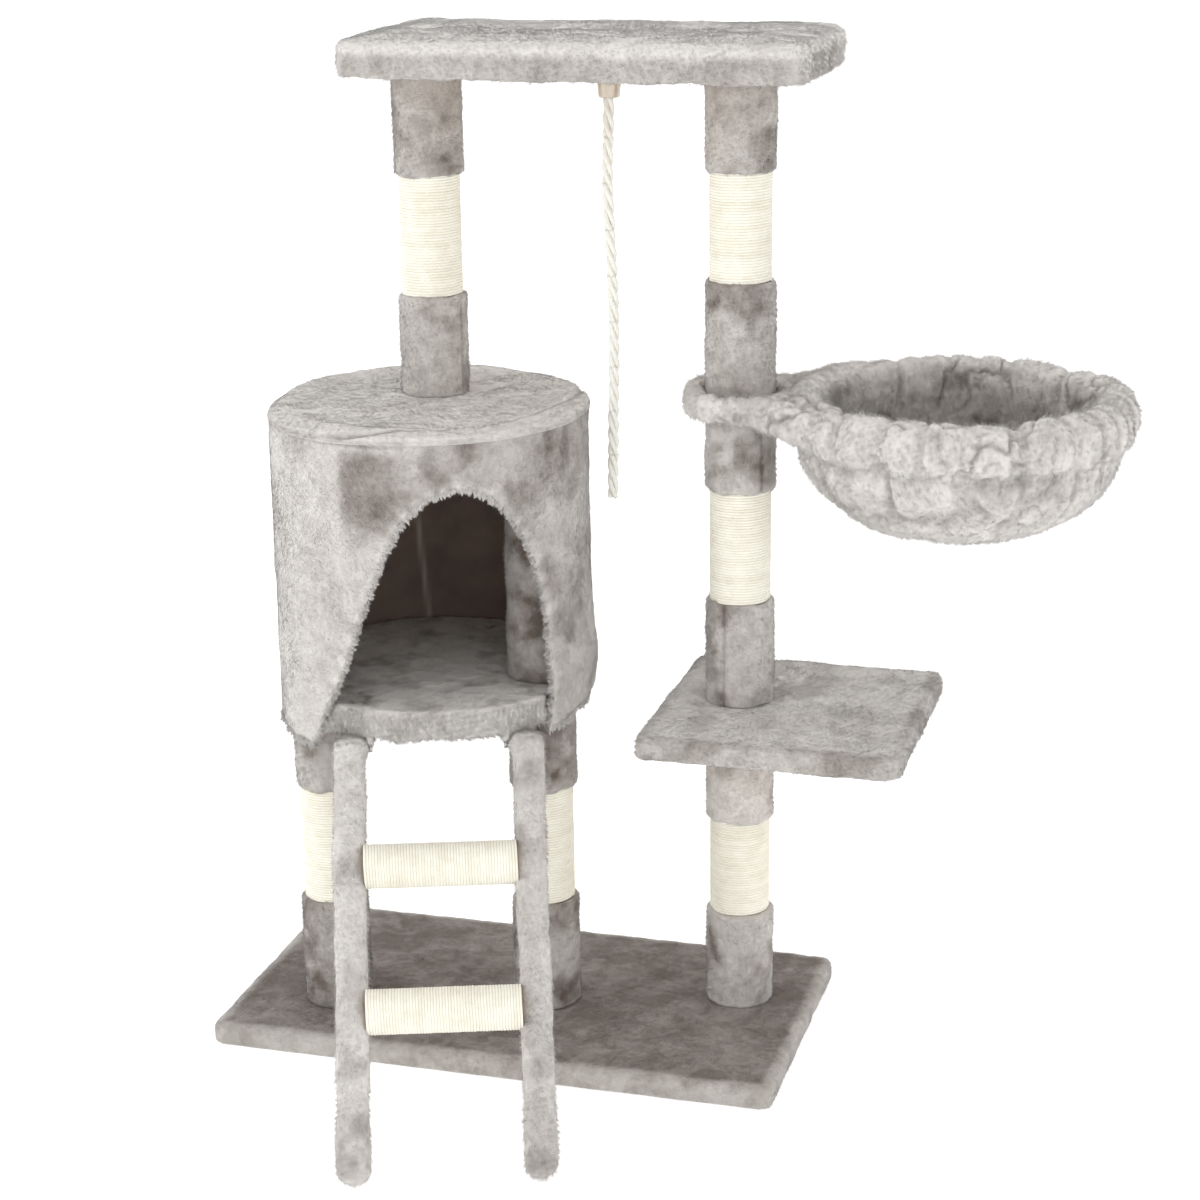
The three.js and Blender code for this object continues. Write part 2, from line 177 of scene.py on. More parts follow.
def build_mesh(name, verts, faces):
    mesh = bpy.data.meshes.new(name)
    mesh.vertices.add(len(verts))
    mesh.vertices.foreach_set("co", np.asarray(verts, np.float32).ravel())
    corners = np.concatenate([part.ravel() for part in faces]).astype(np.int32)
    sizes = np.concatenate([np.full(len(part), part.shape[1]) for part in faces])
    mesh.loops.add(len(corners))
    mesh.loops.foreach_set("vertex_index", corners)
    mesh.polygons.add(len(sizes))
    mesh.polygons.foreach_set("loop_start", (np.cumsum(sizes) - sizes).astype(np.int32))
    mesh.polygons.foreach_set("use_smooth", np.ones(len(sizes), bool))
    mesh.update(calc_edges=True)
    mesh.validate()
    return mesh


def add_piece(name, verts, faces, material, body, nodes=(), values=None):
    mesh = build_mesh(name, verts, faces)
    for key, value in (values or {}).items():
        layer = mesh.attributes.new(key, "FLOAT", "POINT")
        layer.data.foreach_set("value", np.broadcast_to(value, len(verts)).astype(np.float32))
    mesh.materials.append(material)
    piece = bpy.data.objects.new(name, mesh)
    bpy.context.scene.collection.objects.link(piece)
    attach(piece, body)
    if nodes:
        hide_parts(*nodes)
    return piece


def joined(*shapes):
    """Several (verts, faces) as one."""
    verts, faces, start = [], [], 0
    for v, parts in shapes:
        verts.append(v)
        faces += [part + start for part in parts]
        start += len(v)
    return np.concatenate(verts), faces


def remeshed(shape, voxel, rounds):
    """One even skin of quads over closed shapes, with its edges rounded by smoothing."""
    work = bpy.data.objects.new("work", build_mesh("work", *shape))
    bpy.context.scene.collection.objects.link(work)
    remesh = work.modifiers.new("remesh", "REMESH")
    remesh.mode = "VOXEL"
    remesh.voxel_size = voxel
    smooth = work.modifiers.new("smooth", "SMOOTH")
    smooth.factor = 0.5
    smooth.iterations = rounds
    mesh = work.evaluated_get(bpy.context.evaluated_depsgraph_get()).to_mesh()
    verts = np.zeros(len(mesh.vertices) * 3)
    mesh.vertices.foreach_get("co", verts)
    corners = np.zeros(len(mesh.loops), np.int32)
    mesh.loops.foreach_get("vertex_index", corners)
    bpy.data.objects.remove(work)
    return verts.reshape(-1, 3), [corners.reshape(-1, 4)]


def node_shape(name):
    """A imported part's own surface as triangles."""
    mesh = frame["nodes"][name].data
    mesh.calc_loop_triangles()
    verts = np.zeros(len(mesh.vertices) * 3)
    mesh.vertices.foreach_get("co", verts)
    tris = np.zeros(len(mesh.loop_triangles) * 3, np.int32)
    mesh.loop_triangles.foreach_get("vertices", tris)
    return verts.reshape(-1, 3), [tris.reshape(-1, 3)]


def box_of(name):
    low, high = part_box(name)
    return np.array(low), np.array(high)


# ---- node materials ----
class Nodes:
    """Short ways to add shader nodes to one material."""

    def __init__(self, name):
        self.material = bpy.data.materials.new(name)
        self.material.use_nodes = True
        self.tree = self.material.node_tree
        self.shader = self.tree.nodes["Principled BSDF"]
        self.place = self.add("ShaderNodeTexCoord").outputs["Object"]

    def add(self, kind, **settings):
        node = self.tree.nodes.new(kind)
        for key, value in settings.items():
            setattr(node, key, value)
        return node

    def link(self, source, target):
        self.tree.links.new(source, target)

    def noise(self, scale, detail=2, distortion=0.0, stretch=None, roughness=0.55):
        node = self.add("ShaderNodeTexNoise")
        node.inputs["Scale"].default_value = scale
        node.inputs["Detail"].default_value = detail
        node.inputs["Distortion"].default_value = distortion
        node.inputs["Roughness"].default_value = roughness
        source = self.place
        if stretch:
            mapping = self.add("ShaderNodeMapping")
            mapping.inputs["Scale"].default_value = stretch
            self.link(self.place, mapping.inputs["Vector"])
            source = mapping.outputs["Vector"]
        self.link(source, node.inputs["Vector"])
        return node.outputs["Fac"]

    def value(self, name):
        return self.add("ShaderNodeAttribute", attribute_name=name).outputs["Fac"]

    def spread(self, source, low, high, to_low=0.0, to_high=1.0):
        node = self.add("ShaderNodeMapRange")
        for key, number in zip(("From Min", "From Max", "To Min", "To Max"), (low, high, to_low, to_high)):
            node.inputs[key].default_value = number
        self.link(source, node.inputs["Value"])
        return node.outputs["Result"]

    def sum(self, *sources, operation="ADD"):
        total = sources[0]
        for source in sources[1:]:
            node = self.add("ShaderNodeMath", operation=operation)
            for socket, item in zip(node.inputs, (total, source)):
                if isinstance(item, (int, float)):
                    socket.default_value = item
                else:
                    self.link(item, socket)
            total = node.outputs["Value"]
        return total

    def blend(self, fraction, first, second):
        node = self.add("ShaderNodeMix", data_type="RGBA")
        self.link(fraction, node.inputs["Factor"])
        for key, item in (("A", first), ("B", second)):
            socket = next(s for s in node.inputs if s.name == key and s.type == "RGBA")
            if isinstance(item, tuple):
                socket.default_value = (*item, 1)
            else:
                self.link(item, socket)
        return next(s for s in node.outputs if s.type == "RGBA")

    def bump(self, height, strength, distance):
        node = self.add("ShaderNodeBump")
        node.inputs["Strength"].default_value = strength
        node.inputs["Distance"].default_value = distance
        self.link(height, node.inputs["Height"])
        self.link(node.outputs["Normal"], self.shader.inputs["Normal"])

    def colour(self, source):
        self.link(source, self.shader.inputs["Base Color"])

    def surface(self, **numbers):
        for key, number in numbers.items():
            self.shader.inputs[key.replace("_", " ")].default_value = number
        return self.material


PLUSH_LIGHT = (0.78, 0.755, 0.725)
# The dark end of the mix: random brushed patches and painted shade both go towards it.
PLUSH_BRUSHED_AND_SHADED = (0.158, 0.128, 0.108)
# Painted shade at the tufts' roots, lighter towards the tips.
PLUSH_ROOT_SHADE = (0.86, 0.85, 0.84)


def plush_material():
    """Short brushed pile. "shade" holds brushed patches and painted shade; "tip" runs from root (painted
    dark) to tip.
    """
    m = Nodes("plush")
    cloud = m.spread(m.noise(34, 3, 0.8), 0.35, 0.68, -0.09, 0.12)
    clump = m.spread(m.noise(150, 3, 0.4), 0.3, 0.7, -0.06, 0.07)
    fibre = m.spread(m.noise(900, 2), 0.3, 0.7, -0.05, 0.05)
    shade = m.sum(m.value("shade"), cloud, clump, fibre)
    base = m.blend(shade, PLUSH_LIGHT, PLUSH_BRUSHED_AND_SHADED)
    root = m.blend(m.value("tip"), PLUSH_ROOT_SHADE, (1.0, 1.0, 1.0))
    tint = m.add("ShaderNodeMix", data_type="RGBA", blend_type="MULTIPLY")
    tint.inputs["Factor"].default_value = 1.0
    colours = [s for s in tint.inputs if s.type == "RGBA"]
    m.link(base, colours[0])
    m.link(root, colours[1])
    m.colour(next(s for s in tint.outputs if s.type == "RGBA"))
    m.bump(m.sum(m.noise(1100, 2), m.noise(420, 3, 0.6)), 0.55, 1.2 * MM)
    return m.surface(Roughness=0.92, Specular_IOR_Level=0.12, Sheen_Weight=0.35, Sheen_Roughness=0.45)


def sisal_material(name, light, dark):
    """Twisted fibre: its attribute holds each turn's own tone plus painted shade in the grooves."""
    m = Nodes(name)
    hair = m.spread(m.noise(700, 3, 0.3), 0.3, 0.75, -0.16, 0.2)
    cloud = m.spread(m.noise(60, 2), 0.35, 0.7, -0.1, 0.1)
    # The fibre attribute brings each turn's tone together with painted shade in the grooves.
    m.colour(m.blend(m.sum(m.value("strand_tone_and_groove_shade"), hair, cloud), light, dark))
    m.bump(m.noise(1500, 3, 0.2), 0.5, 0.5 * MM)
    return m.surface(Roughness=0.82, Specular_IOR_Level=0.2, Sheen_Weight=0.1)


def lining_material():
    m = Nodes("lining")
    weave = m.noise(1300, 2)
    cloud = m.spread(m.noise(25, 3), 0.3, 0.7)
    seam = m.value("seam")
    m.colour(m.blend(seam, m.blend(cloud, (0.18, 0.134, 0.113), (0.25, 0.19, 0.16)), (0.46, 0.39, 0.34)))
    m.bump(weave, 0.3, 0.4 * MM)
    return m.surface(Roughness=0.85, Specular_IOR_Level=0.2, Sheen_Weight=0.15)


def chipboard_material():
    m = Nodes("chipboard")
    flake = m.add("ShaderNodeTexVoronoi", feature="F1")
    flake.inputs["Scale"].default_value = 260
    m.link(m.place, flake.inputs["Vector"])
    tone = m.add("ShaderNodeSeparateColor")
    m.link(flake.outputs["Color"], tone.inputs["Color"])
    grain = m.sum(m.spread(tone.outputs["Red"], 0, 1, 0, 0.7), m.spread(m.noise(500, 3), 0.3, 0.7, 0, 0.3))
    m.colour(m.blend(grain, (0.52, 0.36, 0.2), (0.26, 0.16, 0.085)))
    m.bump(grain, 0.25, 0.4 * MM)
    return m.surface(Roughness=0.8)


def cardboard_material():
    m = Nodes("cardboard")
    spiral = m.noise(60, 2, 0.2, stretch=(1, 1, 6))
    m.colour(m.blend(m.spread(spiral, 0.3, 0.7), (0.42, 0.3, 0.18), (0.3, 0.2, 0.115)))
    m.bump(m.noise(900, 2), 0.2, 0.2 * MM)
    return m.surface(Roughness=0.88)


def steel_material():
    m = Nodes("steel")
    spangle = m.noise(240, 2, 0.5)
    m.colour(m.blend(m.spread(spangle, 0.3, 0.7), (0.66, 0.66, 0.67), (0.46, 0.46, 0.47)))
    m.link(m.spread(m.noise(700, 2), 0.3, 0.7, 0.28, 0.5), m.shader.inputs["Roughness"])
    m.bump(spangle, 0.1, 0.2 * MM)
    return m.surface(Metallic=1.0)


def ferrule_material():
    m = Nodes("ferrule")
    brushed = m.noise(300, 2, 0.1, stretch=(1, 1, 12))
    m.colour(m.blend(m.spread(brushed, 0.3, 0.7), (0.62, 0.55, 0.46), (0.5, 0.435, 0.36)))
    m.link(m.spread(brushed, 0.3, 0.7, 0.3, 0.42), m.shader.inputs["Roughness"])
    m.bump(brushed, 0.08, 0.1 * MM)
    return m.surface(Metallic=0.55)


def floor_material():
    m = Nodes("studio_floor")
    m.colour(m.blend(m.noise(0.8, 2), (0.93, 0.93, 0.93), (0.95, 0.95, 0.95)))
    m.shader.inputs["Emission Color"].default_value = (1, 1, 1, 1)
    return m.surface(Roughness=0.9, Specular_IOR_Level=0.1, Emission_Strength=0.42)


# ---- camera, light and floor ----
def make_camera():
    yaw, pitch, roll = (math.radians(a) for a in (-16.19, 17.36, -0.83))
    forward = Vector((math.sin(yaw) * math.cos(pitch), math.cos(yaw) * math.cos(pitch), -math.sin(pitch)))
    level = Vector((math.cos(yaw), -math.sin(yaw), 0))
    upright = level.cross(forward)
    right = math.cos(roll) * level + math.sin(roll) * upright
    up = -math.sin(roll) * level + math.cos(roll) * upright
    data = bpy.data.cameras.new("camera")
    data.sensor_width = 36
    data.lens = 79.77
    data.clip_end = 200
    camera = bpy.data.objects.new("camera", data)
    bpy.context.scene.collection.objects.link(camera)
    turned = Matrix((right, up, -forward)).transposed().to_4x4()
    camera.matrix_world = Matrix.Translation((0.8084, -2.4913, 1.2799)) @ turned
    bpy.context.scene.camera = camera


def area_light(name, place, aim, size, power):
    data = bpy.data.lights.new(name, "AREA")
    data.size = size
    data.energy = power
    light = bpy.data.objects.new(name, data)
    light.location = place
    light.rotation_euler = (Vector(aim) - Vector(place)).to_track_quat("-Z", "Y").to_euler()
    bpy.context.scene.collection.objects.link(light)


def make_studio():
    scene = bpy.context.scene
    scene.view_settings.view_transform = "Standard"
    scene.world = bpy.data.worlds.new("studio")
    scene.world.use_nodes = True
    background = scene.world.node_tree.nodes["Background"]
    background.inputs["Color"].default_value = (1, 1, 1, 1)
    background.inputs["Strength"].default_value = 1.08
    area_light("key", (-2.9, -2.2, 2.4), (0.05, 0, 0.5), 1.6, 24)
    area_light("fill", (2.4, -2.2, 1.2), (0.1, 0, 0.5), 2.0, 5)
    half, below = 40.0, -0.4 * MM
    corners = [[-half, -half, below], [half, -half, below], [half, half, below], [-half, half, below]]
    mesh = build_mesh("studio_floor", corners, [np.array([[0, 1, 2, 3]])])
    floor = bpy.data.objects.new("studio_floor", mesh)
    floor.data.materials.append(floor_material())
    scene.collection.objects.link(floor)


# ---- rope ----
ROUTE_STEP = 2 * MM


def rope_route():
    """Points at even steps along the smooth curve through the rope's set."""
    step = (ROPE_TOP - ROPE_END) / (len(SET_X) - 1)
    points = np.array([[ROPE_AT[0] + x * MM, ROPE_AT[1] + y * MM, ROPE_TOP - i * step]
                       for i, (x, y) in enumerate(zip(SET_X, SET_Y))])
    ends = np.concatenate([[2 * points[0] - points[1]], points, [2 * points[-1] - points[-2]]])
    route = []
    for a, b, c, d in zip(ends, ends[1:], ends[2:], ends[3:]):
        for t in np.arange(0, 1, ROUTE_STEP / step):
            route.append(0.5 * (2 * b + (c - a) * t + (2 * a - 5 * b + 4 * c - d) * t * t
                                + (3 * b - a - 3 * c + d) * t ** 3))
    return np.array([*route, points[-1]])


def needles(roots, normals, aims, length, width, sink=0.0, droop=0.0):
    """Slim three-sided spikes. Returns verts, faces and each vertex's place from root (0) to tip (1)."""
    side = unit(np.cross(aims, normals + 1e-6))
    lift = np.cross(side, aims)
    length = np.broadcast_to(length, len(roots))[:, None]
    width = np.broadcast_to(width, len(roots))[:, None] / 2
    foot = roots - aims * sink
    verts = np.empty((len(roots), 4, 3))
    for k, turn in enumerate((0.5, 2.6, 4.7)):
        verts[:, k] = foot + width * (math.cos(turn) * side + math.sin(turn) * lift)
    verts[:, 3] = roots + aims * length - normals * droop * length
    start = np.arange(len(roots))[:, None] * 4
    faces = np.concatenate([start + np.array(three) for three in ((1, 0, 3), (2, 1, 3), (0, 2, 3))])
    return verts.reshape(-1, 3), [faces], np.tile([0, 0, 0, 1.0], len(roots))


def make_rope():
    route = rope_route()
    along = np.arange(len(route)) * ROUTE_STEP
    aim = unit(np.gradient(route, axis=0))
    first = unit(np.cross(aim, [0, 1, 0]))
    second = np.cross(aim, first)
    strand_r, offset, lay = 2.75 * MM, 2.95 * MM, 50 * MM
    sides = 14
    turn = full_turn(sides)
    circle = np.cos(turn)[None, :, None] * first[:, None] + np.sin(turn)[None, :, None] * second[:, None]
    middle = np.concatenate([np.repeat(route, sides, axis=0), route[[0, -1]]])
    shapes, tones_and_groove_shade = [], []
    for k in range(3):
        angle = 2 * math.pi * (k / 3 - along / lay)
        centre = route + offset * (np.cos(angle)[:, None] * first + np.sin(angle)[:, None] * second)
        drift = [ripple(centre, 0.02, 3 + k), ripple(centre, 0.02, 6 + k), 0 * along]
        centre += 0.25 * MM * np.stack(drift, -1)
        swell = strand_r * (1 - 0.55 * ease(along, along[-1] - 5 * MM, along[-1]) ** 2)
        yarn = 1 + 0.07 * np.cos(5 * turn[None, :] + along[:, None] / (3.2 * MM))
        ring = centre[:, None] + (swell[:, None] * yarn)[..., None] * circle
        verts = np.concatenate([ring.reshape(-1, 3), centre[:1], centre[-1:]])
        shapes.append((verts, capped(len(route), sides)))
        near = np.linalg.norm(verts - middle, axis=1)
        # Painted shade: each strand darker where it lies near the rope's middle, in the grooves between
        # strands.
        tones_and_groove_shade.append(0.12 + 0.15 * ripple(verts, 0.006, 9 + k) + 0.5 * ease(4.6 * MM - near, 0, 2.4 * MM))
    rng = np.random.default_rng(11)
    count, frayed = 130, 60  # stray fibres, and how many of them are at the cut end
    at = rng.integers(0, len(route), count)
    at[:frayed] = len(route) - 1 - rng.integers(0, 3, frayed)
    turn = rng.uniform(0, 2 * math.pi, count)
    outward = np.cos(turn)[:, None] * first[at] + np.sin(turn)[:, None] * second[at]
    roots = route[at] + outward * rng.uniform(2, 5, count)[:, None] * MM
    lengths = rng.uniform(2, 5, count) * MM
    hairs = needles(roots, outward, unit(aim[at] + 0.35 * outward), lengths, 0.35 * MM)
    shapes.append(hairs[:2])
    tones_and_groove_shade.append(np.full(len(hairs[0]), 0.1))
    verts, faces = joined(*shapes)
    values = {"strand_tone_and_groove_shade": np.concatenate(tones_and_groove_shade)}
    rope = add_piece("hanging_rope", verts, faces, cotton, "rope", ["rope"], values)


def lathe(profile, sides, middle, close=False):
    """A profile of (radius, height) rows turned about Z. close joins the last row to the first."""
    turn = full_turn(sides)
    profile = np.asarray(profile, float)
    verts = np.empty((len(profile), sides, 3))
    verts[..., 0] = middle[0] + profile[:, :1] * np.cos(turn)
    verts[..., 1] = middle[1] + profile[:, :1] * np.sin(turn)
    verts[..., 2] = profile[:, 1:]
    return verts.reshape(-1, 3), [grid_faces(len(profile), sides, round_rows=close)]


def make_ferrule():
    low, high = box_of("rope_ferrule")
    foot, head = low[2] - 7 * MM, high[2]
    mouth, lip, top = 8.2 * MM, 10.6 * MM, 13.4 * MM
    profile = [(9.5 * MM, head - 7 * MM), (9.5 * MM, foot + 3 * MM), (mouth, foot + 0.8 * MM),
               (mouth + 0.5 * MM, foot + 0.1 * MM), (lip - 0.8 * MM, foot), (lip - 0.1 * MM, foot + 0.6 * MM)]
    profile += [(lip + (top - lip) * t, foot + (head - foot) * t) for t in np.linspace(0.06, 0.94, 12)]
    profile += [(top, head - 0.5 * MM), (top - 0.6 * MM, head), (9 * MM, head)]
    verts, faces = lathe(profile, 64, ROPE_AT, close=True)
    add_piece("ferrule_cup", verts, faces, ferrule, "stand", ["rope_ferrule"])


def make_knot():
    """The rope's stopper knot: a ball of three wound strands."""
    low, high = box_of("rope_knot")
    middle, radius = (low + high) / 2, (high[2] - low[2]) / 2
    rows, sides = 40, 72
    rise = np.linspace(0.02, math.pi - 0.02, rows)[:, None]
    turn = full_turn(sides)[None, :]
    r = radius * (0.9 + 0.1 * np.abs(np.cos(1.5 * turn + 2.2 * rise)))
    out, up = r * np.sin(rise), r * np.cos(rise)
    verts = np.stack([-out * np.cos(turn), out * np.sin(turn), up], -1)
    ends = [[0, 0, 0.9 * radius], [0, 0, -0.9 * radius]]
    verts = np.concatenate([verts.reshape(-1, 3), ends]) + middle
    faces = capped(rows, sides, flip=True)
    add_piece("stopper_knot", verts, faces, cotton, "knot", ["rope_knot"], {"strand_tone_and_groove_shade": 0.3})


# ---- plush: a lumpy skin with a coat of tufts ----
TUFT = 4.4 * MM
TUFT_WIDTH = 0.36 * MM
TUFT_SPACING = 1.75 * MM
MOST_TUFTS = 66000  # in one object
LOCK = 5.5 * MM  # from one lock of tufts to the next


def lumps(points, seed, amount=1.0):
    """How far brushed pile stands out or lies down."""
    return amount * MM * (0.9 * ripple(points, 0.030, seed) + 0.75 * ripple(points, 0.014, seed + 1)
                          + 0.7 * ripple(points, 0.0075, seed + 2))


def wrinkles(points, size, seed, width=0.12):
    """1 along thin winding lines, 0 between them."""
    return bump_at(ripple(points, size, seed) + 0.25 * ripple(points, size / 3, seed + 9), 0, width)


def add_pile(name, spikes, normal, tone, body, crisp):
    """Needles as one piece, lit as the skin below, and as far as crisp says by their own sides."""
    verts, sides, tip = spikes
    values = {"shade": np.repeat(tone, 4), "tip": tip}
    pile = add_piece(name, verts, sides, plush, body, values=values)
    soft = unit((1 - crisp) * np.repeat(normal, 4, axis=0) + crisp * vertex_normals(verts, sides))
    pile.data.normals_split_custom_set_from_vertices(soft)
    return pile


def coat(name, verts, faces, shade, body, where, flow, length=TUFT, spacing=TUFT_SPACING, stand=0.5,
         seed=1, floor=None, gather=0.6, fleck=1.0, crisp=0.35):
    """Tufts on a skin, gathered into locks. flow is the way the pile is brushed, stand is how upright
    it is, and where keeps some places bare."""
    rng = np.random.default_rng(seed)
    tris = np.concatenate([halved(part) for part in faces])
    normals = vertex_normals(verts, faces)
    tris = tris[where(verts[tris].mean(1), normals[tris].mean(1))]
    a, b, c = (verts[tris[:, k]] for k in range(3))
    area = np.linalg.norm(np.cross(b - a, c - a), axis=1) / 2
    total = int(area.sum() / spacing ** 2)
    objects = -(-total // MOST_TUFTS)
    count = total // objects
    piles = []
    for k in range(objects):
        picked = np.searchsorted(np.cumsum(area), rng.uniform(0, area.sum(), count)).clip(0, len(tris) - 1)
        u, v = rng.random((2, count, 1))
        u, v = np.where(u + v > 1, 1 - u, u), np.where(u + v > 1, 1 - v, v)
        weight = np.concatenate([1 - u - v, u, v], 1)
        three = tris[picked]
        roots = (verts[three] * weight[..., None]).sum(1)
        normal = unit((normals[three] * weight[..., None]).sum(1))
        swirl = [ripple(roots, 0.045, seed + 40 + i) + 0.6 * ripple(roots, 0.012, seed + 50 + i)
                 for i in range(3)]
        lie = flow(roots, normal) if callable(flow) else np.array(flow, float)
        lie = lie + 1.1 * np.stack(swirl, -1) + 0.35 * rng.normal(size=(count, 3))
        lie = unit(lie - (lie * normal).sum(1, keepdims=True) * normal)
        upright = np.clip(stand + 0.25 * ripple(roots, 0.02, seed + 60)[:, None], 0.1, 1)
        aims = unit(lie * (1 - upright) + normal * upright)
        reach = length * rng.uniform(0.6, 1.25, count) * (1 + 0.2 * ripple(roots, 0.012, seed + 70))
        cells = np.floor(roots @ TILT.T / LOCK).astype(np.int64)
        middle = np.stack([lattice(cells, seed + 80 + i) for i in range(3)], -1)
        pull = (cells + 0.5 + 0.4 * middle) @ TILT * LOCK - roots
        pull -= (pull * normal).sum(1, keepdims=True) * normal
        tips = aims * reach[:, None] + gather * pull
        reach = np.linalg.norm(tips, axis=1)
        spikes = needles(roots, normal, unit(tips), reach, TUFT_WIDTH, sink=0.6 * MM, droop=0.1)
        if floor is not None:
            spikes[0][:, 2] = np.maximum(spikes[0][:, 2], floor)
        tone = (shade[three] * weight).sum(1) + 0.06 * fleck * lattice(cells, seed + 90)
        tone = tone + 0.045 * fleck * rng.normal(size=count)
        piles.append(add_pile(f"{name}_{k + 1}", spikes, normal, tone, body, crisp))
    return piles


def everywhere(points, normals):
    return np.ones(len(points), bool)


def brushed(points, seed, amount, size=0.05):
    """Patches brushed the other way, which look darker."""
    return amount * ease(ripple(points, size, seed) + 0.4 * ripple(points, size / 3, seed + 5), -0.1, 0.7)


def add_plush(name, verts, faces, body, nodes, shade, where=everywhere, flow=(0, 0, -1), fill=None,
              **options):
    """A plush cover: its skin and its pile. fill is not used."""
    shade = np.broadcast_to(shade, len(verts))
    # The skin takes most of the tufts' painted root shade.
    skin = add_piece(name, verts, faces, plush, body, nodes, {"shade": shade, "tip": 0.25})
    piles = coat(name + "_pile", verts, faces, shade, body, where, flow, **options)
    return skin, piles


# ---- posts ----
SLEEVES = {  # each sleeve's tone: its pile's lie plus painted shade; the inner post's, inside the condo, is darkest
    "left_leg_sleeve_low": 0.59, "left_leg_sleeve_high": 0.42, "right_leg_sleeve_low": 0.42,
    "right_leg_sleeve_high": 0.55, "condo_post_sleeve_low": 0.31, "condo_post_sleeve_high": 0.43,
    "tall_post_lower_sleeve_low": 0.29, "tall_post_lower_sleeve_high": 0.12,
    "tall_post_middle_sleeve_low": 0.29, "tall_post_middle_sleeve_high": 0.32,
    "tall_post_upper_sleeve_low": 0.36, "tall_post_upper_sleeve_high": 0.32, "inner_post_sleeve": 0.64,
}


def make_sleeve(index, node, tone):
    low, high = box_of(node)
    middle, tall = (low[:2] + high[:2]) / 2, high[2] - low[2]
    radius, inner, edge = (high[1] - low[1]) / 2, 27.6 * MM, 3 * MM
    on_tall_post = middle[0] > 0.2
    at = np.linspace(0, 1, max(int(tall / (2.3 * MM)), 8))
    inset = (1 - np.minimum(at, 1 - at) * tall / edge).clip(0)
    round_off = 1 - np.sqrt(np.clip(1 - inset ** 2, 0, 1))
    wall = np.stack([radius - edge * 0.8 * round_off, low[2] + at * tall], -1)
    profile = np.concatenate([[[inner, low[2]]], wall, [[inner, high[2]]]])
    verts, faces = lathe(profile, 92, middle, close=True)
    outward = out_from(middle, verts)
    outer = ease(reach_from(middle, verts), inner + 1 * MM, inner + 4 * MM)
    calm = ease(np.abs(verts[:, 2] - SWIVEL_Z), 0.020, 0.036) if on_tall_post else 1.0
    seam_at = math.radians(67 * index - 642)  # each sleeve's seam is turned on from the last one's
    turn = np.arctan2(outward[:, 1], outward[:, 0]) - seam_at
    seam = outer * bump_at(np.abs((turn + math.pi) % (2 * math.pi) - math.pi), 0, 0.07)
    verts += (calm * (outer * lumps(verts, 10 + index, 0.85) - 1.6 * MM * seam))[:, None] * outward
    ring = np.stack([outward[:, 0] * 0.035, outward[:, 1] * 0.035, verts[:, 2] * 0 + index], -1)
    ragged = 2.0 * MM * ripple(ring, 0.012, 20 + index) + 0.8 * MM * ripple(ring, 0.005, 70 + index)
    share = (verts[:, 2] - low[2]) / tall
    held = (0.02, SWIVEL_Z, box_of("perch_cover")[0][2])  # heights where a sleeve meets another part
    at_foot, at_head = (min(abs(z - level) for level in held) < 10 * MM for z in (low[2], high[2]))
    pull = np.where(share < 0.5, 0 if at_foot else -1, 0 if at_head else 1)
    verts[:, 2] += outer * ragged * pull * ease(np.abs(share - 0.5), 0.3, 0.5)
    # Painted shade: the sleeve's tone, and a darker line in its seam's crease.
    shade = tone - 0.03 + brushed(verts, 30 + index, 0.36, 0.035)
    shade = shade + brushed(verts, 50 + index, 0.16, 0.014) + 0.2 * seam
    bare = 0.016 if on_tall_post else 0  # under the hammock's collar
    where = lambda p, n: (reach_from(middle, p) > inner + 2 * MM) & (np.abs(p[:, 2] - SWIVEL_Z) >= bare)
    skin, piles = add_plush(node + "_cover", verts, faces, "stand", [node], shade, where,
                            seed=100 + index, length=3.0 * MM)


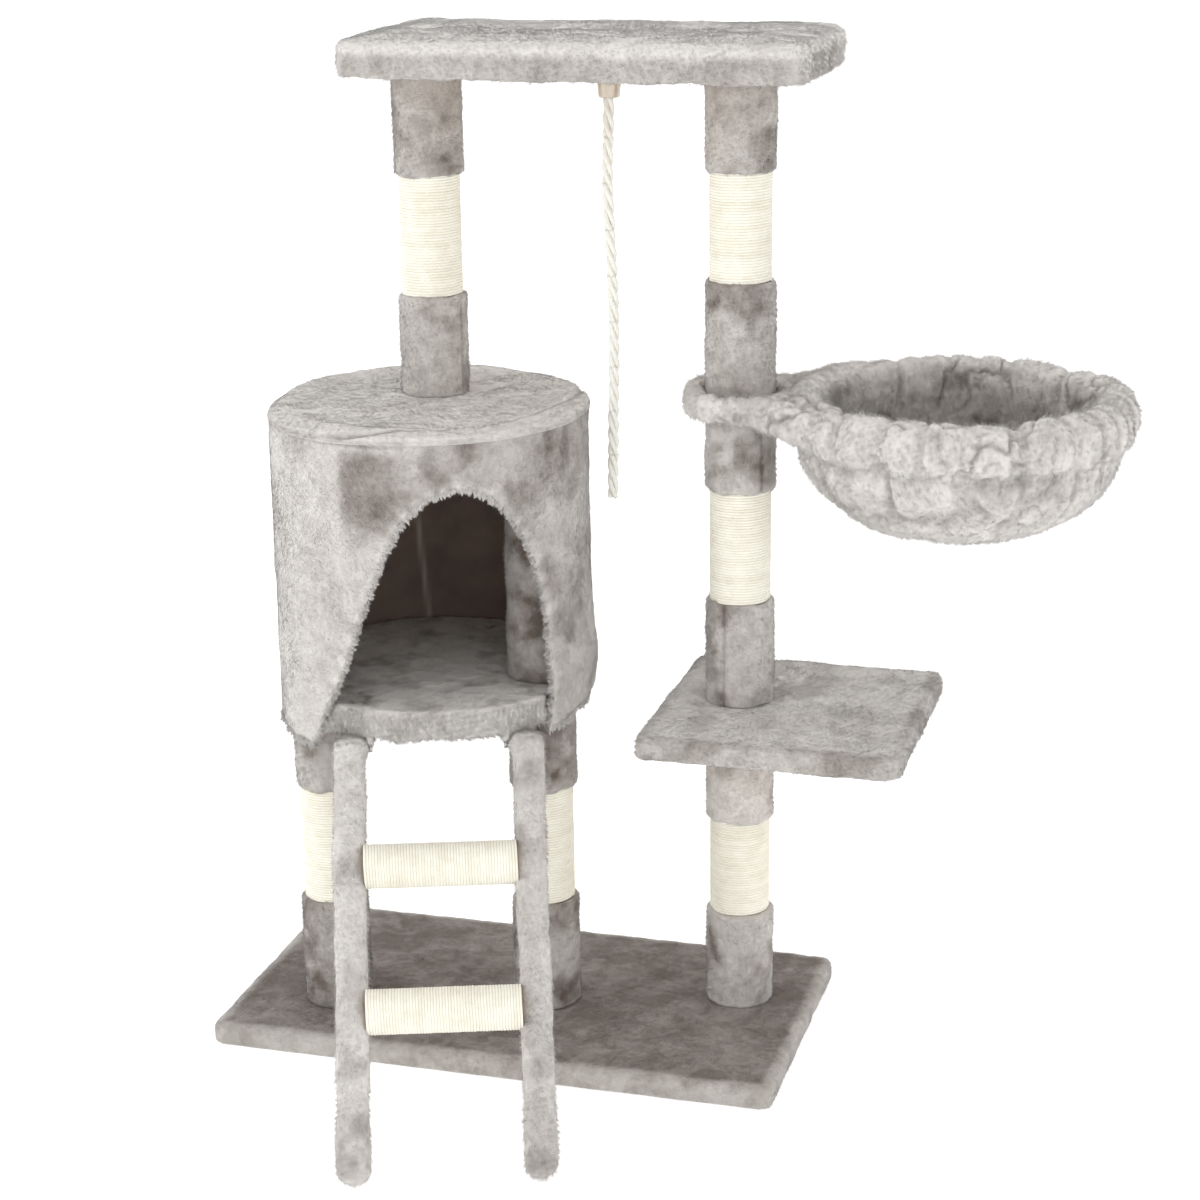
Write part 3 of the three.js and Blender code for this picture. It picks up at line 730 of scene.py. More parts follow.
# ---- sisal ----
def winding(name, node, origin, axes, radius, length, body, seed):
    """One thread wound round a post, with a few stray fibres. axes are three unit rows, the last
    along the post."""
    across, columns = 6, 84
    turns = int(length / THREAD)
    steps = turns * columns
    i = np.arange(steps + 1)[:, None]
    wave = np.arange(across)[None, :] / across
    angle = i / columns * 2 * math.pi
    along = (i / columns + wave) * (length / (turns + 1))
    number = (i // columns).ravel()
    rng = np.random.default_rng(seed)
    tone = rng.uniform(0, 0.22, turns + 2)
    thick = rng.normal(0, 0.09 * MM, turns + 2)
    flat = np.concatenate([np.cos(angle), np.sin(angle), i / columns * 0.09], -1) * 0.031
    drift = ripple(flat, 0.02, seed)[:, None]
    dome = arched(wave) * (0.95 * MM + thick[number][:, None])
    r = radius - 0.75 * MM + dome + 0.12 * MM * drift
    along = along + 0.25 * MM * drift
    local = np.stack([r * np.cos(angle), r * np.sin(angle), along], -1).reshape(-1, 3)
    verts = origin + local @ axes
    cell = np.arange(steps)[:, None] * across
    here = cell + np.arange(across - 1)
    faces = np.stack([here, here + across, here + across + 1, here + 1], -1).reshape(-1, 4)
    last = cell[: steps - columns, 0] + across - 1
    after = cell[: steps - columns, 0] + columns * across
    faces = np.concatenate([faces, np.stack([last, last + across, after + across, after], -1)])
    strand_tone_and_groove_shade = tone[number] + 0.10 * ripple(flat, 0.008, seed + 1)
    # Painted shade: each turn darker towards its edges, in the groove between turns.
    strand_tone_and_groove_shade = (strand_tone_and_groove_shade[:, None] + 0.35 * (1 - arched(wave))).ravel()
    count = 90
    turn = rng.uniform(0, 2 * math.pi, count)
    height = rng.uniform(0.02, 0.98, count) * length
    out = np.stack([np.cos(turn), np.sin(turn), 0 * turn], -1)
    way = np.stack([-np.sin(turn), np.cos(turn), 0 * turn], -1) * rng.choice([-1, 1], count)[:, None]
    way += 0.35 * out + rng.normal(0, 0.3, (count, 3))
    roots = origin + (out * radius + height[:, None] * [0, 0, 1]) @ axes
    hairs = needles(roots, out @ axes, unit(way @ axes), rng.uniform(3, 8, count) * MM, 0.3 * MM, droop=0.1)
    verts, faces = joined((verts, [faces]), hairs[:2])
    values = {"strand_tone_and_groove_shade": np.concatenate([strand_tone_and_groove_shade, np.full(len(hairs[0]), 0.15)])}
    add_piece(name, verts, faces, sisal, body, [node], values)


def make_post_windings():
    posts = ("left_leg", "right_leg", "condo_post", "tall_post_lower", "tall_post_middle", "tall_post_upper")
    for index, name in enumerate(posts):
        low, high = box_of(name + "_sisal")
        origin = np.array([*(low + high)[:2] / 2, low[2] - 2.5 * MM])
        winding(name + "_winding", name + "_sisal", origin, np.eye(3), (high[1] - low[1]) / 2,
                high[2] - low[2] + 5 * MM, "stand", 200 + index)


# ---- panels ----
def puffed(node, voxel, rounds, seed, amount, grow=0.8 * MM):
    """A packed cover's own shape, rounded and lumpy, with the normals it had before the lumps."""
    verts, faces = remeshed(node_shape(node), voxel, rounds)
    normals = vertex_normals(verts, faces)
    verts = verts + normals * (grow + lumps(verts, seed, amount))[:, None]
    return verts, faces, normals


def inside_board(points, node):
    low, high = box_of(node)
    margin = 1.2 * MM
    return ((points > low - margin) & (points < high + margin)).all(1)


def outwards_from(low, high):
    middle = (low + high) / 2
    return lambda p, n: unit((p - middle) * [1, 1, 0.2]) * 0.8 + np.array([0.1, -0.2, -0.2])


def edge_distance(points, low, high):
    """How far in from a panel's nearest side a point is."""
    gap = np.minimum(points[:, :2] - low[:2], high[:2] - points[:, :2])
    return gap.min(1)


def make_base():
    low, high = box_of("base_cover")
    verts, faces, _ = puffed("base_cover", 2.9 * MM, 3, 300, 0.6)
    verts[:, 2] = np.maximum(verts[:, 2], 0.3 * MM)
    inset = edge_distance(verts, low, high) + 3 * MM * ripple(verts, 0.03, 301)
    top = ease(inset, 5 * MM, 14 * MM) * ease(verts[:, 2], 0.014, 0.020)
    # Painted shade: the top, under the frame above, painted much darker than the sides; its pile's lie
    # darkens it too.
    shade = 0.47 + 0.39 * top + brushed(verts, 303, 0.12, 0.09) + 0.08 * ripple(verts, 0.02, 304)
    where = lambda p, n: ~inside_board(p, "base_board") & (p[:, 2] > 1.2 * MM)
    add_plush("base_plush", verts, faces, "stand", ["base_cover"], shade, where, outwards_from(low, high),
              seed=301, stand=0.3, gather=0.3, fleck=0.7, length=2.8 * MM, floor=0.2 * MM, fill=0.9)


def make_step():
    low, high = box_of("side_step_cover")
    verts, faces, _ = puffed("side_step_cover", 2.4 * MM, 3, 310, 0.8)
    inset = edge_distance(verts, low, high) + 4 * MM * ripple(verts, 0.02, 311)
    top = ease(inset, 4 * MM, 16 * MM) * ease(verts[:, 2], high[2] - 6 * MM, high[2] - 2 * MM)
    # Painted light: the top is painted lighter than the sides.
    shade = 0.38 - 0.32 * top + brushed(verts, 313, 0.3, 0.045)
    where = lambda p, n: ~inside_board(p, "side_step_board")
    add_plush("side_step_plush", verts, faces, "stand", ["side_step_cover"], shade, where,
              outwards_from(low, high), seed=311, stand=0.4, fill=0.9)


def make_perch():
    low, high = box_of("perch_cover")
    verts, faces, normals = puffed("perch_cover", 2.6 * MM, 5, 320, 0.3, 1.5 * MM)
    verts = verts + normals * (lumps(verts, 329, 1.1) * ease(0.8 - normals[:, 2], 0, 0.3))[:, None]
    upper = ease(verts[:, 2], low[2] + 18 * MM, high[2] - 4 * MM)
    crown = 3.5 * MM * ease(edge_distance(verts, low, high), 0, 0.045)
    for bolt in ("perch_bolt_left", "perch_bolt_right"):
        near, far = box_of(bolt)
        crown -= 9 * MM * bump_at(reach_from((near + far)[:2] / 2, verts), 0, 11 * MM)
    crown += 1.2 * MM * ripple(verts * [1, 2.2, 0], 0.08, 322)
    verts[:, 2] += upper * crown
    # Painted shade: the sides and underside painted darker than the top.
    shade = -0.14 + 0.46 * (1 - upper) + brushed(verts, 323, 0.12, 0.05)
    top = lambda p, n: ~inside_board(p, "perch_board") & (n[:, 2] > 0.6)
    around = lambda p, n: ~inside_board(p, "perch_board") & (n[:, 2] <= 0.6)
    flow = outwards_from(low, high)
    add_plush("perch_plush", verts, faces, "stand", ["perch_cover"], shade, top, flow, seed=321, stand=0.3,
              gather=0.3, fleck=0.4, crisp=0.15, fill=0.7)
    coat("perch_edge_pile", verts, faces, shade, "stand", around, flow, 5.4 * MM, seed=328, gather=0.9,
         crisp=0.65)


# ---- condo ----
def on_condo(angle, height, radius):
    """A point on the condo's round wall; angle is from the front towards +X."""
    x = CONDO[0] + radius * np.sin(angle)
    y = CONDO[1] - radius * np.cos(angle)
    return np.stack(np.broadcast_arrays(x, y, height), -1)


def condo_degrees(points):
    """Each point's angle round the condo, in degrees from the front towards +X."""
    return np.degrees(np.arctan2(points[:, 0] - CONDO[0], CONDO[1] - points[:, 1]))


def door_outline(shrink):
    """The doorway's outline as (across, height), from the lower left over the arch to the lower right."""
    def curve(a, b, c, d):
        t = np.linspace(0, 1, 90)[:, None]
        a, b, c, d = (np.array(p, float) for p in (a, b, c, d))
        return (1 - t) ** 3 * a + 3 * (1 - t) ** 2 * t * b + 3 * (1 - t) * t * t * c + t ** 3 * d
    s, sill = shrink, 322
    left = curve((4, 620 - s), (-78 + s, 620 - s), (-92 + s, 470), (-134 + s, 372))
    right = curve((100.5 - s, 420), (102 - s, 520), (70 - s, 620 - s), (4, 620 - s))
    foot = np.linspace((-153 + s, sill), left[-1], 30)
    corner = np.linspace(right[0], (101 - s, sill), 50)
    return np.concatenate([foot, left[::-1], right[::-1], corner]) * MM


def inside_outline(points, outline):
    inside = np.zeros(len(points), bool)
    for (x0, y0), (x1, y1) in zip(outline, np.roll(outline, -1, axis=0)):
        crosses = (y0 > points[:, 1]) != (y1 > points[:, 1])
        with np.errstate(divide="ignore", invalid="ignore"):
            inside ^= crosses & (points[:, 0] < (x1 - x0) * (points[:, 1] - y0) / (y1 - y0) + x0)
    return inside


def round_wall(radius, low, high, cell, shrink):
    """A round wall's (angle, height) grid with the doorway cut out, its edge vertices on the outline."""
    columns = int(2 * math.pi * radius / cell)
    rows = int((high - low) / cell) + 1
    angle = np.linspace(-math.pi, math.pi, columns, endpoint=False) + DOOR_TURN
    height = np.linspace(low, high, rows)
    grid = np.stack(np.meshgrid(angle, height), -1).reshape(-1, 2)
    faces = grid_faces(rows, columns)
    outline = door_outline(shrink)
    front = np.abs((grid[:, 0] - DOOR_TURN + math.pi) % (2 * math.pi) - math.pi) < math.pi / 2
    flat = np.stack([radius * np.sin(grid[:, 0] - DOOR_TURN), grid[:, 1]], -1)
    middle = flat[faces].mean(1)
    faces = faces[~(inside_outline(middle, outline) & front[faces].all(1))]
    used, counts = np.unique(faces, return_counts=True)
    edge = used[counts < 4]
    edge = edge[front[edge] & (grid[edge, 1] > low + cell / 2) & (grid[edge, 1] < high - cell / 2)]
    steps = np.concatenate([np.linspace(a, b, 4, endpoint=False) for a, b in zip(outline, outline[1:])])
    near = np.abs(flat[edge][:, None] - steps[None]).sum(-1).argmin(1)
    across = np.clip(steps[near, 0] / radius, -1, 1)
    grid[edge] = np.stack([np.arcsin(across) + DOOR_TURN, steps[near, 1]], -1)
    keep, again = np.unique(faces, return_inverse=True)
    return grid[keep], again.reshape(-1, 4)


def shell(outer, inner, faces, roll):
    """A closed sheet between two copies of one skin, its edges rolled out by `roll`."""
    count = len(outer)
    edges = np.concatenate([faces[:, [k, (k + 1) % 4]] for k in range(4)])
    rim = edges[~np.isin(edges @ [count, 1], edges @ [1, count])]
    normals = unit(outer - inner)
    away = np.zeros_like(outer)
    for k in range(2):
        np.add.at(away, rim[:, k], np.cross(unit(outer[rim[:, 1]] - outer[rim[:, 0]]), normals[rim[:, k]]))
    away = unit(away)
    points = np.unique(rim)
    place = np.zeros(count, int)
    place[points] = np.arange(len(points))
    rings = [outer[points] * (1 - t) + inner[points] * t + away[points] * roll * math.sin(math.pi * t)
             for t in (0.2, 0.5, 0.8)]
    verts = np.concatenate([outer, inner, *rings])
    chain = [rim] + [place[rim] + 2 * count + k * len(points) for k in range(3)] + [rim + count]
    sides = [np.stack([a[:, 1], a[:, 0], b[:, 0], b[:, 1]], -1) for a, b in zip(chain, chain[1:])]
    return verts, [faces, faces[:, ::-1] + count, np.concatenate(sides)], points, away


def make_condo_wall():
    low, high = box_of("condo_wall_cover")
    grid, faces = round_wall(CONDO_R, low[2], high[2], 3.0 * MM, 3.5)
    angle, height = grid.T
    degrees = np.degrees((angle + math.pi) % (2 * math.pi) - math.pi)
    flat = on_condo(angle, height, CONDO_R)
    hem = ease(height, low[2] + 0.05, low[2])
    height = height + hem * (4 * MM * ripple(flat, 0.035, 400) + 2 * MM * ripple(flat, 0.012, 401) - 2 * MM)
    height = height - 13 * MM * bump_at(degrees, -28, 4) * ease(height, low[2] + 0.04, low[2])
    corner = ease(degrees, 50, 60) * ease(-degrees, -150, -110)
    lift = (11 + 4 * ease(degrees, 66, 86)) * MM * corner
    height = height + lift * ease(height, low[2] + 0.05, low[2])
    belly = 4.5 * MM * bump_at(height, low[2] + 0.055, 0.03) * corner
    tuck = 6 * MM * ease(low[2] + lift + 0.016 - height, 0, 0.02) ** 2 * ease(degrees, 66, 80) * corner
    bulge = belly - tuck
    smooth = ease(-degrees, -10, 25) + ease(degrees, 110, 175)
    creased = 1.5 * MM * ripple(flat * [1, 1, 0.35], 0.055, 402) * ease(high[2] - height, 0, 0.03)
    puff = lumps(flat, 403, 0.9 - 0.6 * smooth) + creased + bulge
    outer = on_condo(angle, height, CONDO_R - 0.6 * MM + puff)
    inner = on_condo(angle, height, CONDO_R - 4.8 * MM + bulge)
    verts, parts, rim, away = shell(outer, inner, faces, 1.6 * MM)
    shade = wall_shade(verts)
    outside = lambda p, n: reach_from(CONDO, p) > CONDO_R - 3.6 * MM
    skin, piles = add_plush("condo_wall_plush", verts, parts, "stand", ["condo_wall_cover"], shade, outside,
                            stand=0.3, seed=410, gather=0.1, fleck=0.2, crisp=0.15)
    piles.append(fringe(verts, rim, away, shade))


def wall_shade(verts):
    """Painted light and shade: lit left, shaded right, dark patch by the arch, shadow under the top, light
    door edge.
    """
    degrees, z = condo_degrees(verts), verts[:, 2]
    # Painted shade: darker to the right, away from the light, fading out at the back.
    right = 0.18 * ease(degrees, -30, 40) + brushed(verts, 405, 0.34, 0.045) * ease(degrees, -30, 20)
    right = right + 0.09 * ease(z, 0.58, 0.64) * ease(degrees, 0, 25)
    shade = 0.18 + right * (1 - ease(degrees, 110, 175))
    shade = shade + 0.10 * bump_at(degrees, -21, 7) * ease(0.56 - z, 0, 0.05)
    patch = ease(degrees, -16, -12) * ease(-degrees, -16, -5)
    patch = patch * ease(z, 0.556, 0.600) * ease(0.656 - z, 0, 0.008)
    round_it = ease(degrees, -15, -10) * ease(-degrees, -2, 6)
    round_it = round_it * ease(z, 0.548, 0.566) * ease(0.652 - z, 0, 0.02)
    # A painted shadow line under the top's edge, on the left.
    line = bump_at(z, 0.6585, 2 * MM) * ease(-degrees, -14, -2)
    shade = shade + 0.34 * patch + 0.16 * round_it + 0.3 * line
    shade = shade + brushed(verts, 409, 0.2, 0.025) * ease(z, 0.58, 0.66)
    # Lighter along the doorway's cut edge, at the front.
    opening = door_outline(3.5)[::6]
    turned = np.radians(degrees) - DOOR_TURN
    flat = np.stack([CONDO_R * np.sin(turned), z], -1)
    off = np.linalg.norm(flat[:, None] - opening[None], axis=-1).min(1)
    return shade * (1 - 0.8 * np.where(np.cos(turned) > 0, bump_at(off, 0, 7 * MM), 0))


def fringe(verts, rim, away, shade):
    """The longer pile that stands out in locks round the wall's cut edges."""
    rng = np.random.default_rng(430)
    locks_made, needles_each, loose_made = 620, 26, 9000
    rim = rim[verts[rim, 2] < box_of("condo_wall_cover")[1][2] - 8 * MM]

    def aim_from(points):
        out = out_from(CONDO, verts[points])
        spread = rng.normal(0, 0.3, (len(points), 3))
        outward = out * rng.uniform(-0.1, 0.7, (len(points), 1))
        return out, unit(away[points] + outward + [0, 0, -0.3] + spread)

    def root_at(points, out, spread):
        beside = verts[points] + rng.normal(0, spread, (len(points), 3)) * MM
        return beside - out * rng.uniform(0, 4, (len(points), 1)) * MM

    locks = rng.choice(rim, locks_made)
    out, aims = aim_from(locks)
    tips = verts[locks] + aims * rng.uniform(4.5, 8.5, (locks_made, 1)) * MM
    picked = np.repeat(np.arange(locks_made), needles_each)
    roots = root_at(locks[picked], out[picked], 1.5)
    ends = tips[picked] + rng.normal(0, 0.5, (len(picked), 3)) * MM
    loose = rng.choice(rim, loose_made)
    loose_out, loose_aims = aim_from(loose)
    loose_roots = root_at(loose, loose_out, 1.2)
    roots = np.concatenate([roots, loose_roots])
    ends = np.concatenate([ends, loose_roots + loose_aims * rng.uniform(2.5, 6, (loose_made, 1)) * MM])
    out = np.concatenate([out[picked], loose_out])
    lengths = np.linalg.norm(ends - roots, axis=1)
    spikes = needles(roots, out, unit(ends - roots), lengths, 0.55 * MM, droop=0.05)
    # Painted light: the fringe's hairs painted lighter than the wall they grow from.
    tone = shade[np.concatenate([locks[picked], loose])] * 0.4 - 0.05
    return add_pile("condo_wall_fringe", spikes, out, tone, "stand", 0.35)


def make_lining():
    low, high = box_of("condo_wall_panel")
    grid, faces = round_wall(LINING_R, low[2], high[2], 4.0 * MM, 0.0)
    angle, height = grid.T
    flat = on_condo(angle, height, LINING_R)
    seam_at = -154 - 3 * (0.5 - height) / 0.1
    turn = (np.degrees(angle) - seam_at + 180) % 360 - 180
    ridge = bump_at(turn, 0, 0.9)
    inner = on_condo(angle, height, LINING_R - 1.8 * MM * ridge + 0.25 * MM * ripple(flat, 0.03, 440))
    outer = on_condo(angle, height, LINING_R + 3 * MM)
    verts, parts, rim, _ = shell(outer, inner, faces, 0.2 * MM)
    seam = {"seam": np.concatenate([0 * ridge, ridge, np.zeros(3 * len(rim))])}
    piece = add_piece("condo_wall_lining", verts, parts, lining, "stand", ["condo_wall_panel"],
                      seam)


def make_condo_floor():
    verts, faces, _ = puffed("condo_floor_cover", 2.3 * MM, 3, 450, 1.1, 0.5 * MM)
    reach = reach_from(CONDO, verts)
    lip = ease(reach, 0.150, 0.157)
    inside = 1 - lip
    hem = lip * ease(0.385 - verts[:, 2], 0, 0.02)
    verts[:, 2] += hem * (2.2 * MM * ripple(verts * [1, 1, 0], 0.016, 452))
    across = np.abs((verts[:, :2] - CONDO) @ [math.cos(DOOR_TURN), math.sin(DOOR_TURN)])
    corners = ease(across, 0.05, 0.10) * inside * ease(reach, 0.10, 0.13)
    # Painted light and shade: the floor inside painted lighter, and its corners by the wall painted darker in
    # mottles.
    shade = 0.10 * lip + brushed(verts, 453, 0.42, 0.03) * (1 - 0.7 * lip)
    shade = shade + brushed(verts, 457, 0.22, 0.012) * inside - 0.12 * inside
    shade = shade + corners * brushed(verts, 458, 0.7, 0.012)
    where = lambda p, n: (p[:, 2] > 0.3845) | (reach_from(CONDO, p) > 0.1565)
    forward = unit(np.array([math.sin(DOOR_TURN), -math.cos(DOOR_TURN), -0.3]))
    add_plush("condo_floor_plush", verts, faces, "stand", ["condo_floor_cover"], shade, where, forward,
              seed=451, fill=0.8)
    under = lambda p, n: (n[:, 2] < 0.7) & (reach_from(CONDO, p) > 0.1535)
    coat("condo_floor_fringe", verts, faces, shade, "stand", under, (0, 0, -1), 7 * MM, 1.1 * MM, 0.45, 455,
         gather=1.0, crisp=0.7)


SEAM_AT = (-180, -60, -22, -5, 9, 24, 42, 64, 92, 115, 132, 180)  # degrees from the front
SEAM_RADIUS = (0.172, 0.172, 0.166, 0.157, 0.143, 0.140, 0.134, 0.131, 0.139, 0.156, 0.168, 0.172)


def make_condo_top():
    low, high = box_of("condo_top_cover")
    sides, level, roll = 340, 64, 5 * MM
    bend = np.linspace(0.2, 1.4, 5)
    radii = np.concatenate([np.linspace(0.003, CONDO_R - roll, level), CONDO_R - roll + roll * np.sin(bend)])
    heights = np.concatenate([np.full(level, high[2]), high[2] - 4.5 * MM * (1 - np.cos(bend))])
    skirt = [(CONDO_R + 0.6 * MM, high[2] - 6 * MM), (CONDO_R - 0.2 * MM, low[2] - 1 * MM),
             (CONDO_R - 2.5 * MM, low[2] - 1.5 * MM), (0.003, low[2])]
    profile = list(zip(radii, heights)) + skirt
    verts = np.concatenate([lathe(profile, sides, CONDO)[0], [[*CONDO, high[2]], [*CONDO, low[2]]]])
    faces = capped(len(profile), sides)
    reach, degrees = reach_from(CONDO, verts), condo_degrees(verts)
    upper = ease(verts[:, 2], low[2] + 1 * MM, high[2])
    puff = 2.2 * MM * ripple(verts * [1, 1, 0], 0.05, 460) + 1.5 * MM
    puff += 3.0 * MM * bump_at(reach, 0.145, 0.012)
    puff -= 5 * MM * bump_at(reach_from(TOP_DIMPLE, verts), 0, 0.010)
    verts[:, 2] += upper * (puff + lumps(verts, 461, 0.8))
    edge = ease(reach, 0.150, 0.160)
    verts[:, 2] -= edge * 3.5 * MM * ease(-degrees, -10, 40)
    swell = edge * (0.3 * MM + 1.0 * MM * ripple(verts * [1, 1, 0], 0.03, 463))
    verts += swell[:, None] * out_from(CONDO, verts)
    seam_at = np.interp(degrees, SEAM_AT, SEAM_RADIUS) + 1.5 * MM * ripple(verts, 0.02, 466)
    seam = upper * bump_at(reach, seam_at, 3.2 * MM)
    verts[:, 2] -= 3.5 * MM * seam
    # Painted light and shade: the top painted lighter, the skirt under the rolled edge darker, the seam's
    # groove darker.
    shade = -0.1 + brushed(verts, 464, 0.16, 0.05) + 0.35 * edge * (1 - upper) + 0.6 * seam
    where = lambda p, n: (n[:, 2] > -0.3) & (reach_from(CONDO_POST, p) > 0.033)
    flow = lambda p, n: (p - [*CONDO, 0.67]) * 4 + np.array([0, -0.4, 0])
    add_plush("condo_top_plush", verts, faces, "stand", ["condo_top_cover"], shade, where, flow, seed=465,
              stand=0.3, gather=0.3, fleck=0.5, crisp=0.15, fill=0.8)


# ---- hammock ----
def creases(turn, around, seed, sharp):
    """Gathers round the rim: 0 on a fold's crown, 1 deep in a crease."""
    circle = np.stack([np.cos(turn), np.sin(turn), 0 * turn], -1) * 0.15
    phase = turn / (2 * math.pi) * around + 1.3 * ripple(circle, 0.08, seed)
    fold = np.round(phase)
    cell = np.stack([fold % around, 0 * fold, 0 * fold], -1).astype(np.int64)
    return (0.55 + 0.45 * lattice(cell, seed)) * bump_at(phase, fold, sharp)


def hammock_bowl():
    """The gathered bowl and its puffed rim: one profile turned round the ring, inside bottom first."""
    inside = [(0.004, 0.5665), (0.048, 0.569), (0.090, 0.580), (0.116, 0.604), (0.129, 0.630),
              (0.1295, 0.652)]
    rim = [(0.1285, 0.668), (0.131, 0.684), (0.140, 0.695), (0.152, 0.698), (0.163, 0.694), (0.1705, 0.683),
           (0.1725, 0.669), (0.169, 0.655)]
    outside = [(0.161, 0.6435), (0.157, 0.634), (0.149, 0.616), (0.133, 0.595), (0.110, 0.577),
               (0.080, 0.565), (0.045, 0.560), (0.004, 0.5585)]
    points = np.array(inside + rim + outside)
    gaps = np.concatenate([[0], np.cumsum(np.linalg.norm(np.diff(points, axis=0), axis=1))])
    slope = np.gradient(points, gaps, axis=0)
    at = np.arange(0, gaps[-1], 2.4 * MM)
    i = np.clip(np.searchsorted(gaps, at, side="right") - 1, 0, len(gaps) - 2)
    span = (gaps[i + 1] - gaps[i])[:, None]
    t = (at - gaps[i])[:, None] / span
    curve = ((2 * t ** 3 - 3 * t ** 2 + 1) * points[i] + (t ** 3 - 2 * t ** 2 + t) * span * slope[i]
             + (3 * t ** 2 - 2 * t ** 3) * points[i + 1] + (t ** 3 - t ** 2) * span * slope[i + 1])
    radius, height = curve[:, :1], curve[:, 1:]
    rows, sides = len(at), 400
    share, turn = (at / gaps[-1])[:, None], full_turn(sides)[None, :]
    rim_at = bump_at(height, 0.678, 0.026)
    twist = turn + 0.10 * (share - 0.5) * np.sin(3 * turn + 1) * 4
    depth = 1 - 0.5 * np.stack([creases(row, 27, 500, 0.13) for row in twist]) * rim_at
    rim_z = 0.676
    r = np.where(rim_at > 0.05, RING_R + (radius - RING_R) * depth, radius)
    z = np.where(rim_at > 0.05, rim_z + (height - rim_z) * depth, height)
    fall = (1 - rim_at) * ease(height, 0.562, 0.635)
    stitched = bump_at(height, 0.6435, 0.006) * (share > 0.5)
    r = r - fall * (4.5 * MM * creases(turn[0], 27, 500, 0.22)) - 4.0 * MM * stitched
    circle = np.stack([np.cos(turn) * r, np.sin(turn) * r, z], -1)
    wide = ripple(circle * [1, 1, 0.45], 0.045, 510)
    r = r + (1 - 0.3 * rim_at) * ease(radius, 0.01, 0.06) * 2.6 * MM * wide
    rough = 3.6 * MM * ripple(circle, 0.05, 511) + 2.4 * MM * rim_at * ripple(circle, 0.02, 512)
    z = z + rough * (0.3 + 0.7 * rim_at) - 1.5 * MM * (1 - ease(radius, 0, 0.1)) * wide
    verts = np.stack([RING[0] + r * np.cos(turn), RING[1] + r * np.sin(turn), z], -1).reshape(-1, 3)
    return np.concatenate([verts, [[*RING, 0.5662], [*RING, 0.5588]]]), capped(rows, sides, flip=True)


def bar(start, end, start_r, end_r):
    """A soft, slightly creased roll of cloth between two points."""
    rows = sides = 40
    start, end = np.array(start), np.array(end)
    t = np.linspace(0, 1, rows)[:, None]
    aim = unit(end - start)
    side = unit(np.cross(aim, [0, 0, 1]))
    lift = np.cross(side, aim)
    turn = full_turn(sides)[None, :]
    radius = start_r + (end_r - start_r) * t
    radius = radius * np.sqrt(np.clip(1 - (2 * np.abs(t - 0.5)) ** 14, 0.02, 1))
    radius = radius * (1 + 0.12 * np.cos(3 * turn + 5 * t))
    ring = np.cos(turn)[..., None] * side + np.sin(turn)[..., None] * lift
    verts = (start + (end - start) * t)[:, None] + radius[..., None] * ring
    return np.concatenate([verts.reshape(-1, 3), [start, end]]), capped(rows, sides)


def hammock_collar():
    """The gathered cloth ring round the post."""
    rows, sides, power = 36, 160, 0.6
    turn, bend = full_turn(sides)[None, :], full_turn(rows)[:, None]
    swell = 1 - 0.28 * creases(turn[0], 13, 530, 0.16)
    r = 0.0475 + 10.6 * MM * swell * boxy(np.cos(bend), power)
    z = SWIVEL_Z + 0.5 * MM + 14.5 * MM * swell * boxy(np.sin(bend), power) - 3 * MM * np.sin(turn + 2.4)
    verts = np.stack([TALL[0] + r * np.cos(turn), TALL[1] + r * np.sin(turn), z], -1).reshape(-1, 3)
    return verts, [grid_faces(rows, sides, round_rows=True)[:, ::-1]]


def hammock_web():
    """The cloth between the collar and the rim, sagging between its two rolled edges."""
    rows, columns, half_thick = 50, 70, 4.5 * MM
    t = np.linspace(0, 1, rows)[:, None]
    u = np.linspace(-1, 1, columns)[None, :]
    end = RING[0] - np.sqrt(RING_R ** 2 - (NECK * u) ** 2)
    x = TALL[0] + 0.018 + (end - TALL[0] - 0.018) * t
    y = TALL[1] + (0.040 + (NECK - 0.040) * t) * u
    sag = SWIVEL_Z - 4 * MM - 7 * MM * (1 - u ** 2) * np.sin(math.pi * t) + 2 * MM * np.cos(9 * u + 3 * t)
    both = [np.stack([x, y, sag + lift], -1).reshape(-1, 3) for lift in (half_thick, -half_thick)]
    flat = grid_faces(rows, columns, round_columns=False)
    at = np.arange(rows * columns).reshape(rows, columns)
    loop = np.concatenate([at[0], at[1:, -1], at[-1, -2::-1], at[-2:0:-1, 0]])
    after = np.roll(loop, -1)
    sides = np.stack([loop, after, after + at.size, loop + at.size], -1)
    return np.concatenate(both), [flat[:, ::-1], flat + at.size, sides]


def facing_out(axis, points, normals):
    """How far each normal points away from an upright axis."""
    return ((points[:, :2] - axis) * normals[:, :2]).sum(1) / np.maximum(reach_from(axis, points), 1e-6)


